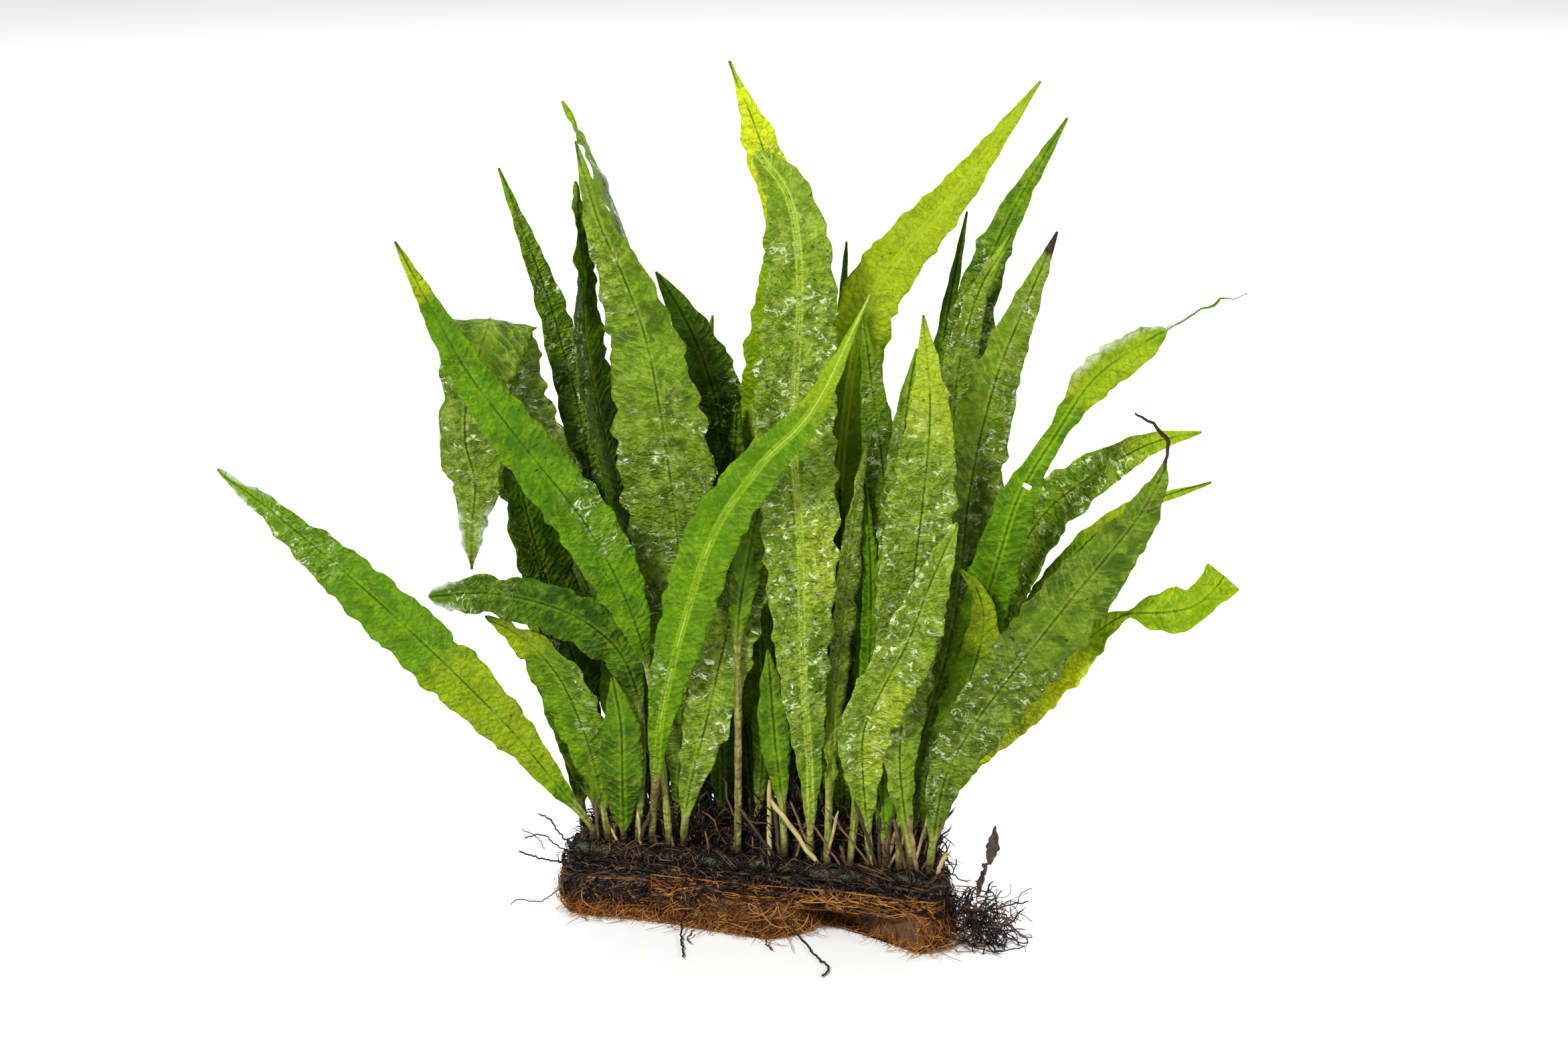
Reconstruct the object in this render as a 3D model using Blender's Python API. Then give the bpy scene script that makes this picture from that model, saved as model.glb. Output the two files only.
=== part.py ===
"""A java fern grown on a small coir mat: strap fronds on creeping rhizomes, a dark root tangle, the mat.

The part rests on the mat's flat underside, whose middle is the origin. Metres, +Z up, the front at -Y.
Every measure below is in millimetres and becomes metres in new_object. Neighbouring pieces keep GAP
between them.
"""
import math
from collections import namedtuple

import bmesh
import bpy
import numpy as np

# The coir mat and what grows on it.
MAT_THICKNESS = 12.0
GAP = 0.3
ROOTS_BED = 2.3
RHIZOME_RADIUS = 2.7

# The mat's edge, from the underside up: each ring's share of the mat's outline and of its thickness.
MAT_EDGE = ((0.5, 0.0), (0.93, 0.0), (0.985, 0.15), (1.0, 0.45), (0.975, 0.82), (0.91, 1.0), (0.5, 1.0))

# The root tangle, section by section: its front and back edges, and the heights over its bed of its
# ridges in front of the front rhizome, between the rhizomes, and behind the back one.
Section = namedtuple("Section", "across front back ridge_front ridge_middle ridge_back ridge_rear")
ROOTS = (
    Section(-55, 2, 25, 0.0, 0.5, 0.5, 0.0),
    Section(-50, -2, 35, 1.5, 3.0, 3.0, 1.5),
    Section(-40, -6, 41, 2.5, 4.0, 5.0, 3.0),
    Section(-28, -11, 42, 3.0, 5.0, 7.0, 4.0),
    Section(-14, -16, 42, 3.5, 6.5, 9.0, 5.0),
    Section(0, -21, 41, 4.0, 8.5, 11.0, 6.0),
    Section(12, -24, 39, 4.5, 10.0, 12.0, 6.0),
    Section(24, -27, 36, 4.5, 10.0, 11.0, 6.0),
    Section(36, -32, 32, 4.5, 9.0, 9.0, 5.0),
    Section(46, -37, 26, 4.0, 6.0, 6.0, 3.5),
    Section(53, -39, 19, 2.0, 3.5, 3.5, 1.5),
    Section(57, -35, 8, 0.0, 0.5, 0.5, 0.0),
)
ROOTS_SECTIONS = 21
ROOTS_RIM = 1.0
ROOTS_UNDERCUT = 1.2
ROOTS_SHOULDER = 0.8
ROOTS_SHOULDER_RISE = 0.3
ROOTS_EDGE_SLOPE = 1.3
RIDGE_CLEARANCE = 3.1
RIDGE_CREST = 5.4
RIDGE_STEP = 0.4

# A frond's stalk and blade. It leaves its rhizome straight up for STEP_OFF, on a level foot.
STALK_RADIUS = 1.1
RIB_THICKNESS = 1.1
MARGIN_THICKNESS = 0.5
TIP_HALF_WIDTH = 0.35
TAIL_HALF_WIDTH = 0.6
STEP_OFF = 4.0
FORWARD = np.array((0.0, -1.0, 0.0))
LEVEL_FOOT = (np.array((1.0, 0.0, 0.0)), FORWARD)

# How finely the shapes are faceted.
CURVE_STEPS = 24
MIDRIB_STEPS = 72
BLADE_RINGS = 9
STALK_RINGS = 3
PLAIN_PATH_POINTS = 4
POINTS_PER_EXTRA_RING = 2
OUTLINE_SIDES = 36
RHIZOME_SIDES = 8
RHIZOME_RINGS = 12
SIDE_ROOTS_SIDES = 9
WITHERED_SIDES = 7
SHARP_ANGLE = math.radians(50.0)

# The front drawing: its plane passes through the origin and is seen from a little above.
VIEW_PITCH = math.radians(13.0)
VIEW_DISTANCE = 1600.0
VIEW_CENTRE = (9.3, 115.4)

# The mat's outline seen from above, counterclockwise from its front left corner.
MAT_OUTLINE = (
    (-56, -2), (-40, -8), (-25, -14), (-8, -23), (5, -29), (15, -23), (22, -13), (32, -19),
    (42, -33), (51, -45), (57, -36), (59, -14), (57, 8), (50, 26), (36, 37), (16, 43),
    (-8, 46), (-30, 45), (-48, 37), (-57, 18),
)

# Each rhizome's row: its depth at the middle, how fast it slants forward to the right, its left and
# right ends, and where its gentle wave starts.
Row = namedtuple("Row", "depth slant left right wave")
ROWS = {
    "front": Row(-12.0, 0.36, -53, 56, 0.4),
    "middle": Row(8.0, 0.30, -52, 57, 2.1),
    "back": Row(26.0, 0.22, -49, 57, 3.6),
}
ROW_WAVE_HEIGHT = 1.0
ROW_WAVE_LENGTH = 34.0
RHIZOME_END = 0.5

# The loose roots past the mat's right end and the withered frond above them, as (x, y, z).
SIDE_ROOTS = ((59.5, -27, 10), (63, -29, 8.5), (67, -31, 6), (73, -34, 3))
SIDE_ROOTS_RADII = (3.0, 4.6, 6.0, 5.8, 4.9, 3.6, 1.6)
WITHERED_FROND = ((66, -30.4, 13.6), (67, -30.6, 19), (70, -30.5, 27), (71, -30, 35))
WITHERED_RADII = (1.2, 1.5, 1.9, 1.5, 1.9, 1.3, 0.5)

# The fronds' tints.
COLOURS = {
    "bright": (0.24, 0.42, 0.02),
    "mid": (0.13, 0.28, 0.02),
    "grey": (0.17, 0.30, 0.07),
    "dark": (0.05, 0.13, 0.01),
    "yellow": (0.45, 0.60, 0.02),
}

Frond = namedtuple("Frond", "name row at width path tint stalk widest foot taper turn cup tail shape")


def frond(name, row, at, width, path, tint="mid", stalk=0.12, widest=0.5, foot=1.0, taper=1.0,
          turn=(0, 0), cup=10, tail=0.0, shape=()):
    """One frond: its rhizome and place on it, blade width, and midrib as (across, up, depth) points.

    Across and up are measured on the front drawing, depth is the point's own y. The stalk and the
    thread-like tail are shares of the length. The blade is widest at one share of its own length, and
    foot and taper say how slowly it widens and narrows, unless shape gives its width as (share,
    factor) knots. Turn rolls it about its midrib, in degrees, from its foot to its tip.
    """
    return Frond(name, row, at, width, path, tint, stalk, widest, foot, taper, turn, cup, tail, shape)


FRONDS = (
    # The left side, from the front.
    frond("frond_left_long", "front", -48, 16,
          [(-58, 37, 1), (-75, 57, -5), (-107, 88, -15), (-137, 114, -22), (-160, 132, -26)],
          tint="bright", stalk=0.06, widest=0.42, taper=0.85, turn=(0, 20)),
    frond("frond_left_bright", "front", -25, 17,
          [(-29, 60, -5), (-36, 88, -16), (-49, 114, -25), (-67, 137, -31), (-84, 159, -36),
           (-94, 176, -39), (-107, 200, -42)],
          tint="bright", stalk=0.28, widest=0.32, taper=0.95, turn=(0, -18)),
    frond("frond_left_arched", "front", -34, 17,
          [(-33, 45, 0), (-34, 62, -1), (-39, 76, -6), (-48, 85, -11), (-60, 91, -15), (-78, 95, -18),
           (-97, 94, -20)],
          tint="dark", stalk=0.34, widest=0.5, taper=0.4),
    frond("frond_left_low", "front", -43.5, 16,
          [(-47, 42, 2), (-51, 55, 0), (-58, 70, -3), (-68, 81, -6), (-80, 88, -8)],
          tint="mid", stalk=0.12, taper=0.9, turn=(0, 25)),
    frond("frond_left_wavy", "middle", -47, 12,
          [(-50, 40, 20), (-55, 56, 18), (-61, 70, 16), (-66, 84, 14)],
          tint="mid", stalk=0.12, turn=(0, -40)),
    frond("frond_left_short", "front", -38.5, 13,
          [(-39, 40, -4), (-39.5, 56, -6), (-42, 70, -4)],
          tint="mid", stalk=0.08),
    frond("frond_left_folded", "middle", -33, 28,
          [(-44, 80, 21), (-56, 114, 17), (-68, 140, 13), (-75, 158, 9), (-78, 176, 2), (-80, 172, -6),
           (-85, 155, -10), (-86, 141, -11), (-83, 128, -11), (-84, 114, -11), (-84, 102, -11)],
          tint="grey", stalk=0.03, turn=(0, 10), cup=8,
          shape=((0.0, 0.0), (0.3, 0.75), (0.52, 1.0), (0.68, 0.97), (0.74, 0.82), (0.8, 0.52), (0.87, 0.62),
                 (0.91, 0.42), (0.96, 0.22), (1.0, 0.0))),
    frond("frond_left_shaded", "middle", -42, 20,
          [(-53, 72, 8), (-61, 96, 2), (-68, 120, -2), (-74, 152, -3)],
          tint="dark", stalk=0.15, turn=(0, 20)),
    frond("frond_left_spire", "back", -38, 13,
          [(-43, 92, 26), (-51, 144, 21), (-58, 172, 19), (-63, 188, 18), (-76, 222, 17)],
          tint="mid", stalk=0.06, widest=0.5, turn=(0, -20)),
    frond("frond_left_inner", "back", -28, 12,
          [(-37, 90, 31), (-49, 140, 29), (-57, 170, 28)],
          tint="dark", stalk=0.12, turn=(0, 40)),
    # The left of the middle.
    frond("frond_glossy_tall", "middle", -23, 29,
          [(-21, 60, 6), (-22, 104, -3), (-25, 132, -8), (-31, 167, -12), (-38, 188, -13), (-46, 206, -14),
           (-53, 230, -15)],
          tint="grey", stalk=0.04, widest=0.5, taper=1.2, turn=(0, 8)),
    frond("frond_glossy_partner", "middle", -28.5, 18,
          [(-31, 80, 10), (-36, 112, 5), (-44, 140, 1), (-50, 168, -4), (-51, 192, -7.5), (-53, 218, -10.5)],
          tint="mid", stalk=0.12, widest=0.55, taper=0.8),
    frond("frond_pale_edge", "back", -21, 19,
          [(-20, 80, 18), (-23, 120, 7), (-26, 155, 1), (-35, 192, 0), (-45, 219, -1), (-57, 242, -2)],
          tint="mid", stalk=0.19, widest=0.55),
    frond("frond_dark_broad", "back", -9, 21,
          [(-9, 80, 22), (-9, 120, 18), (-10, 146, 14), (-15, 165, 12), (-22, 180, 11), (-29, 191, 11)],
          tint="dark", stalk=0.06, widest=0.6, foot=0.7, taper=0.9, turn=(0, -12)),
    frond("frond_crossing", "front", -30, 16,
          [(-29, 40, -8), (-27, 60, -13), (-20, 88, -21), (-11, 114, -28), (3, 134, -34),
           (18, 150, -39), (35, 184, -42)],
          tint="bright", stalk=0.1, widest=0.45, foot=1.2, taper=1.4, turn=(0, 15)),
    frond("frond_inner_glossy", "front", -20.5, 18,
          [(-19, 36, -8), (-14, 56, -10), (-7, 86, -11), (1, 114, -10), (9, 138, -8)],
          tint="grey", stalk=0.08),
    frond("frond_inner_shaded", "middle", -9, 15,
          [(-9, 60, 7), (-8, 100, 4), (-6, 130, 2), (-4, 152, 1)],
          tint="dark", stalk=0.06, foot=0.7, turn=(0, 25)),
    frond("frond_inner_narrow", "middle", 1, 8,
          [(3, 44, 6), (3.5, 66, 4), (2, 98, 2)],
          tint="mid", stalk=0.1, turn=(0, 45)),
    frond("frond_inner_stalked", "front", -4.4, 9,
          [(-4.4, 36, -12), (-4.4, 60, -13), (-4.2, 88, -15.5), (0, 112, -17), (4, 130, -18)],
          tint="mid", stalk=0.55),
    frond("frond_inner_young", "front", 9.4, 9,
          [(8.5, 34, -13), (6.5, 52, -14), (4.5, 78, -14)],
          tint="mid", stalk=0.25),
    # The middle.
    frond("frond_front_tall", "front", 17, 24,
          [(17, 42, -19), (15, 72, -20), (14, 112, -21), (12, 145, -20), (14, 185, -16), (11, 212, -12),
           (1, 227, -10)],
          tint="grey", stalk=0.05, widest=0.6, taper=0.5, turn=(0, -10)),
    frond("frond_yellow", "back", -1, 24,
          [(3, 60, 22), (7, 120, 10), (9, 168, 4), (10.5, 200, 2), (3, 228, 2), (-7, 254, 3)],
          tint="yellow", stalk=0.03, widest=0.5, foot=0.7, taper=1.6, turn=(0, 12)),
    frond("frond_front_second", "front", 22, 9,
          [(24, 60, -16), (27, 90, -15), (30, 116, -15), (34, 140, -15)],
          tint="grey", stalk=0.15),
    frond("frond_middle_short", "middle", 25, 11,
          [(26, 34, -3), (25, 46, -6), (21, 60, -8), (17, 76, -9)],
          tint="bright", stalk=0.08),
    frond("frond_middle_ribbed", "middle", 30, 13,
          [(29, 50, 0), (27, 80, 0), (26, 104, 0), (26, 126, 0)],
          tint="dark", stalk=0.07),
    frond("frond_middle_blade", "front", 29, 6,
          [(33, 50, -14), (35, 80, -11), (35, 104, -11), (33, 132, -11)],
          tint="bright", stalk=0.08),
    frond("frond_middle_shaded", "back", 9, 11,
          [(18, 80, 20), (25, 120, 15), (27, 150, 12), (28, 172, 10)],
          tint="dark", stalk=0.08, turn=(0, 35)),
    frond("frond_middle_thin", "back", 17, 8,
          [(22, 100, 26), (25, 160, 22), (27, 185, 20), (28, 200, 20)],
          tint="dark", stalk=0.08, turn=(0, -30)),
    frond("frond_upper_right", "back", 22, 17,
          [(23, 60, 17), (25, 110, 10), (28, 150, 7), (34, 180, 7), (45, 197, 8), (61, 215, 9),
           (86, 248, 12)],
          tint="yellow", stalk=0.15, widest=0.42, taper=1.0, turn=(0, 15)),
    frond("frond_spotted", "middle", 34.5, 15,
          [(36, 60, -4), (39, 102, -6), (39, 130, -7), (36, 154, -8), (33, 178, -8)],
          tint="mid", stalk=0.05),
    # The right side.
    frond("frond_right_light", "front", 46.5, 20,
          [(44, 42, -30), (45, 62, -29), (48, 98, -29), (51, 124, -31), (53, 150, -33), (51, 178, -36)],
          tint="grey", stalk=0.06, widest=0.55, taper=1.0, turn=(0, 10)),
    frond("frond_right_pale", "front", 43, 14,
          [(43, 50, -18), (44, 100, -16), (45, 130, -16), (46, 150, -17), (49, 168, -18)],
          tint="grey", stalk=0.08),
    frond("frond_right_glossy", "front", 34.5, 18,
          [(33, 38, -28), (33, 53, -34), (38, 65, -38), (46, 80, -42), (53, 98, -45), (61, 116, -46)],
          tint="grey", stalk=0.1, widest=0.5, taper=0.8, cup=16, turn=(0, -12)),
    frond("frond_right_small", "front", 39.5, 8,
          [(39, 30, -24), (38.5, 42, -22), (37, 54, -22), (34, 66, -22)],
          tint="mid", stalk=0.12),
    frond("frond_right_curved", "middle", 50.5, 13,
          [(54, 38, -17), (60, 54, -24), (66, 72, -28), (69, 86, -30), (67, 96, -31), (62, 102, -31)],
          tint="mid", stalk=0.08, taper=0.9),
    frond("frond_right_grey", "middle", 38.5, 17,
          [(46, 60, 0), (54, 100, 0), (59, 132, 0), (61, 160, 2), (67, 184, 4), (77, 202, 6)],
          tint="grey", stalk=0.04, turn=(0, -12)),
    frond("frond_right_browntip", "middle", 43, 18,
          [(50, 50, -6), (58, 76, -9), (62, 98, -11), (64, 119, -12), (67, 137, -12), (71, 153, -11),
           (76, 168, -10), (91, 203, -7)],
          tint="grey", stalk=0.04, widest=0.55, turn=(0, 10)),
    frond("frond_right_spire", "back", 41, 15,
          [(50, 80, 15), (57, 120, 13), (61, 152, 13), (67, 182, 13), (76, 206, 13), (94, 237, 14)],
          tint="mid", stalk=0.03, widest=0.55, turn=(0, 15)),
    frond("frond_right_thin", "back", 36, 8,
          [(44, 80, 22), (52, 130, 23), (57, 170, 22), (64, 209, 22)],
          tint="dark", stalk=0.04, turn=(0, 50)),
    frond("frond_right_threaded", "middle", 47, 15,
          [(54, 50, -10), (65, 77, -18), (73, 104, -24), (79.5, 124, -28), (90, 141.5, -31.5),
           (101.5, 158.5, -34.5), (114, 168, -36), (125, 174.5, -37), (139, 182, -38), (148, 184, -38)],
          tint="bright", stalk=0.22, tail=0.12,
          shape=((0.0, 0.0), (0.15, 0.8), (0.36, 0.92), (0.53, 0.65), (0.61, 0.38), (0.68, 0.32),
                 (0.74, 0.42), (0.82, 0.77), (0.93, 0.72), (0.985, 0.3), (1.0, 0.0))),
    frond("frond_right_slant", "back", 46, 18,
          [(58, 56, 8), (72, 94, 0), (86, 117, -6), (97, 127, -9), (108, 134, -12), (120, 140, -15),
           (134, 143, -18)],
          tint="mid", stalk=0.04, taper=0.9, turn=(0, 8)),
    frond("frond_right_broad", "front", 52, 22,
          [(57, 38, -36), (65, 54, -42), (76, 69, -47), (95, 93, -54), (105, 105, -57), (116, 119, -60),
           (123, 133, -62), (123, 142, -62), (114, 149, -62)],
          tint="grey", stalk=0.06, widest=0.52, taper=0.7, tail=0.12, turn=(0, -15)),
    frond("frond_right_twisted", "middle", 54, 16,
          [(61, 42, -13), (72, 54, -24), (83, 65, -33), (95, 77, -39), (104, 84, -42), (112, 88.5, -44),
           (123, 89, -45), (132, 91, -46), (138, 96, -46), (141, 100, -46)],
          tint="yellow", stalk=0.06, turn=(0, 50),
          shape=((0.0, 0.0), (0.2, 0.6), (0.45, 0.95), (0.6, 1.0), (0.66, 0.72), (0.7, 0.42), (0.76, 0.08),
                 (0.81, 0.6), (0.87, 0.9), (0.91, 0.6), (0.96, 0.7), (1.0, 0.8))),
    frond("frond_right_tip", "back", 54, 9,
          [(70, 64, 6), (90, 98, -8), (110, 118, -18), (137, 128, -26)],
          tint="mid", stalk=0.05, turn=(0, 30)),
    # The back, hidden from the front.
    frond("frond_back_1", "back", -44, 17,
          [(-52, 60, 50), (-61, 98, 66), (-67, 124, 76), (-70, 142, 82)],
          tint="mid", stalk=0.06, foot=0.6, turn=(0, -55)),
    frond("frond_back_2", "back", -33, 20,
          [(-36, 60, 50), (-42, 110, 66), (-46, 150, 76), (-48, 176, 80)],
          tint="bright", stalk=0.05, widest=0.35, foot=0.6, turn=(0, 40)),
    frond("frond_back_3", "back", -15, 22,
          [(-16, 60, 48), (-18, 110, 64), (-16, 150, 74), (-12, 178, 80)],
          tint="grey", stalk=0.04, widest=0.35, foot=0.6, turn=(0, -35)),
    frond("frond_back_4", "back", 4, 18,
          [(4, 50, 46), (8, 90, 64), (12, 120, 78), (16, 140, 88)],
          tint="mid", stalk=0.06, widest=0.35, foot=0.6, turn=(0, 60)),
    frond("frond_back_5", "back", 13, 22,
          [(13, 60, 40), (14, 120, 50), (14, 165, 56), (12, 196, 58)],
          tint="grey", stalk=0.04, widest=0.35, foot=0.6, turn=(0, -30)),
    frond("frond_back_6", "back", 27, 20,
          [(30, 50, 42), (36, 90, 58), (42, 120, 70), (50, 142, 78)],
          tint="bright", stalk=0.05, widest=0.35, foot=0.6, turn=(0, 45)),
    frond("frond_back_7", "back", 31.5, 19,
          [(38, 60, 34), (48, 110, 42), (55, 148, 48), (60, 172, 52)],
          tint="mid", stalk=0.05, widest=0.35, foot=0.6, turn=(0, -50)),
    frond("frond_back_8", "back", 50, 16,
          [(60, 50, 34), (68, 74, 46), (78, 92, 54), (86, 102, 58)],
          tint="mid", stalk=0.07, foot=0.6, turn=(0, 60)),
    frond("frond_back_9", "middle", -51.5, 11,
          [(-53, 50, 36), (-55, 74, 44), (-56, 92, 50), (-57, 108, 54)],
          tint="dark", stalk=0.09, foot=0.6, turn=(0, -60)),
)


def drawn_point(across, up, depth):
    """The point at y = depth that the front drawing shows at (across, up)."""
    up_axis = np.array((0.0, math.sin(VIEW_PITCH), math.cos(VIEW_PITCH)))
    toward_eye = np.array((0.0, -math.cos(VIEW_PITCH), math.sin(VIEW_PITCH)))
    centre = np.array((VIEW_CENTRE[0], 0.0, 0.0)) + VIEW_CENTRE[1] * up_axis
    eye = centre + VIEW_DISTANCE * toward_eye
    on_plane = np.array((across, 0.0, 0.0)) + up * up_axis
    share = (depth - eye[1]) / (on_plane[1] - eye[1])
    return eye + share * (on_plane - eye)


def rhizome_point(row, across):
    """A point on the middle line of a rhizome."""
    shape = ROWS[row]
    wave = ROW_WAVE_HEIGHT * math.sin(across / ROW_WAVE_LENGTH * math.tau + shape.wave)
    height = MAT_THICKNESS + 2 * GAP + ROOTS_BED + RHIZOME_RADIUS
    return np.array((across, shape.depth - shape.slant * across + wave, height))


def smooth_curve(points, count, closed=False):
    """Points evenly spaced along a Catmull-Rom curve through the given ones."""
    points = [np.asarray(p, float) for p in points]
    if closed:
        points = [points[-1], *points, points[0], points[1]]
    else:
        points = [2 * points[0] - points[1], *points, 2 * points[-1] - points[-2]]
    fine = []
    for before, start, end, after in zip(points, points[1:], points[2:], points[3:]):
        for t in np.arange(CURVE_STEPS) / CURVE_STEPS:
            fine.append(0.5 * (2 * start + (end - before) * t
                               + (2 * before - 5 * start + 4 * end - after) * t * t
                               + (3 * start - before - 3 * end + after) * t ** 3))
    fine.append(points[-2])
    fine = np.array(fine)
    length = np.concatenate(((0.0,), np.cumsum(np.linalg.norm(np.diff(fine, axis=0), axis=1))))
    wanted = np.linspace(0.0, length[-1], count + 1 if closed else count)
    if closed:
        wanted = wanted[:-1]
    return np.stack([np.interp(wanted, length, axis) for axis in fine.T], axis=1)


def unit(vector):
    return vector / np.linalg.norm(vector)


def midrib(spec):
    """A frond's middle line from its rhizome to its tip."""
    foot = rhizome_point(spec.row, spec.at) + (0.0, 0.0, RHIZOME_RADIUS + GAP)
    off = foot + (0.0, 0.0, STEP_OFF)
    return smooth_curve([foot, off, *(drawn_point(*p) for p in spec.path)], MIDRIB_STEPS + 1)


def carried_frames(line, turn=(0, 0)):
    """The directions across and out of a piece at each point of its line, carried on from its start."""
    out = FORWARD
    frames = []
    for raw, degrees in zip(np.gradient(line, axis=0), np.linspace(*turn, len(line))):
        tangent = unit(raw)
        out = unit(out - out.dot(tangent) * tangent)
        side = np.cross(tangent, out)
        cos, sin = math.cos(math.radians(degrees)), math.sin(math.radians(degrees))
        frames.append((side * cos + out * sin, out * cos - side * sin))
    return frames


def half_width(spec, share):
    """Half the frond's width at a share of its length: stalk, blade with one widest place, tail."""
    blade_end = 1.0 - spec.tail
    if share <= spec.stalk:
        return STALK_RADIUS
    if share >= blade_end and spec.tail:
        return TAIL_HALF_WIDTH
    s = (share - spec.stalk) / (blade_end - spec.stalk)
    if spec.shape:
        swell = np.interp(s, *zip(*spec.shape))
    elif s < spec.widest:
        swell = math.sin(math.pi / 2 * s / spec.widest) ** spec.foot
    else:
        swell = max(0.0, math.cos(math.pi / 2 * (s - spec.widest) / (1.0 - spec.widest))) ** spec.taper
    tip = TAIL_HALF_WIDTH if spec.tail else TIP_HALF_WIDTH
    narrow = STALK_RADIUS + (tip - STALK_RADIUS) * s
    return narrow + (spec.width / 2 - narrow) * swell


def new_object(name, corners, faces, material):
    """A closed mesh object, its corners given in millimetres."""
    mesh = bpy.data.meshes.new(name)
    mesh.from_pydata([tuple(0.001 * float(c) for c in corner) for corner in corners], [], faces)
    cage = bmesh.new()
    cage.from_mesh(mesh)
    bmesh.ops.recalc_face_normals(cage, faces=cage.faces)
    cage.to_mesh(mesh)
    cage.free()
    mesh.shade_smooth()
    mesh.set_sharp_from_angle(angle=SHARP_ANGLE)
    mesh.materials.append(material)
    made = bpy.data.objects.new(name, mesh)
    bpy.context.scene.collection.objects.link(made)
    return made


def new_material(name, colour, roughness):
    material = bpy.data.materials.new(name)
    material.use_nodes = True
    shader = material.node_tree.nodes["Principled BSDF"]
    shader.inputs["Base Color"].default_value = (*colour, 1.0)
    shader.inputs["Roughness"].default_value = roughness
    shader.inputs["Metallic"].default_value = 0.0
    return material


def lofted(rings):
    """Corners and faces of a closed body through rings that have the same number of corners."""
    size = len(rings[0])
    corners = [corner for ring in rings for corner in ring]
    faces = [tuple(range(size)), tuple(range(len(corners) - size, len(corners)))]
    for ring in range(len(rings) - 1):
        for k in range(size):
            a, b = ring * size + k, ring * size + (k + 1) % size
            faces.append((a, b, b + size, a + size))
    return corners, faces


def frond_rings(spec):
    """Six-cornered rings: the rib and both margins, each with a front and a back corner."""
    line = midrib(spec)
    frames = carried_frames(line, spec.turn)
    frames[0] = LEVEL_FOOT
    blade_rings = BLADE_RINGS + (len(spec.path) - PLAIN_PATH_POINTS) // POINTS_PER_EXTRA_RING
    shares = [*np.linspace(0.0, spec.stalk, STALK_RINGS),
              *np.linspace(spec.stalk, 1.0, blade_rings + 1)[1:]]
    rings = []
    for share in shares:
        i = round(share * MIDRIB_STEPS)
        side, out = frames[i]
        half = half_width(spec, share)
        flat = min(1.0, max(0.0, half / STALK_RADIUS - 1.0))
        slim = min(1.0, half / STALK_RADIUS)
        rib = slim * (STALK_RADIUS + (RIB_THICKNESS / 2 - STALK_RADIUS) * flat)
        margin = slim * (STALK_RADIUS + (MARGIN_THICKNESS - STALK_RADIUS) * flat) / 2
        lift = half * math.tan(math.radians(spec.cup)) * flat * out
        left, right = line[i] - half * side + lift, line[i] + half * side + lift
        rings.append([left + margin * out, line[i] + rib * out, right + margin * out,
                      right - margin * out, line[i] - rib * out, left - margin * out])
    return rings


def make_fronds():
    materials = {tint: new_material(f"frond_{tint}", colour, 0.3) for tint, colour in COLOURS.items()}
    for spec in FRONDS:
        new_object(spec.name, *lofted(frond_rings(spec)), materials[spec.tint])


def tube_rings(line, radii, sides):
    """Rings of a round tube along a line."""
    rings = []
    for point, radius, (side, out) in zip(line, radii, carried_frames(line)):
        turns = np.arange(sides) * math.tau / sides
        rings.append([point + radius * (math.cos(a) * side + math.sin(a) * out) for a in turns])
    return rings


def make_rhizomes():
    material = new_material("rhizome", (0.06, 0.05, 0.02), 0.6)
    for row, shape in ROWS.items():
        across = np.linspace(shape.left, shape.right, RHIZOME_RINGS)
        line = np.array([rhizome_point(row, x) for x in across])
        radii = np.full(RHIZOME_RINGS, RHIZOME_RADIUS)
        radii[[0, -1]] = RHIZOME_END * RHIZOME_RADIUS
        new_object(f"rhizome_{row}", *lofted(tube_rings(line, radii, RHIZOME_SIDES)), material)


def make_mat():
    outline = smooth_curve(MAT_OUTLINE, OUTLINE_SIDES, closed=True)
    middle = outline.mean(axis=0)
    rings = [[(*(middle + share * (point - middle)), height * MAT_THICKNESS) for point in outline]
             for share, height in MAT_EDGE]
    new_object("coir_mat", *lofted(rings), new_material("coir", (0.32, 0.13, 0.035), 0.9))


def tangle_ring(across):
    """The root tangle's section at one place: flat below, with a bed for each rhizome above."""
    columns = np.array(ROOTS).T
    front, back, *ridges = (np.interp(across, columns[0], column) for column in columns[1:])
    bottom = MAT_THICKNESS + GAP
    rim = bottom + ROOTS_RIM
    bed = bottom + ROOTS_BED
    top = [(front + ROOTS_SHOULDER, rim + ROOTS_SHOULDER_RISE)]
    for row, before, after in zip(ROWS, ridges, ridges[1:]):
        middle = rhizome_point(row, across)[1]
        top += [(middle - RIDGE_CREST, bed + before), (middle - RIDGE_CLEARANCE, bed),
                (middle + RIDGE_CLEARANCE, bed), (middle + RIDGE_CREST, bed + after)]
    top.append((back - ROOTS_SHOULDER, rim + ROOTS_SHOULDER_RISE))
    from_end = min(across - ROOTS[0].across, ROOTS[-1].across - across)
    ring = [(across, front + ROOTS_UNDERCUT, bottom), (across, front, rim)]
    for place, (y, z) in enumerate(top):
        y = max(front + RIDGE_STEP * (place + 1), min(back - RIDGE_STEP * (len(top) - place), y))
        reach = min(y - front, back - y, from_end)
        ring.append((across, y, min(z, rim + ROOTS_EDGE_SLOPE * reach)))
    return [*ring, (across, back, rim), (across, back - ROOTS_UNDERCUT, bottom)]


def make_root_tangle():
    places = np.linspace(ROOTS[0].across, ROOTS[-1].across, ROOTS_SECTIONS)
    rings = [tangle_ring(across) for across in places]
    new_object("root_tangle", *lofted(rings), new_material("roots", (0.02, 0.012, 0.008), 0.7))


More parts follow.
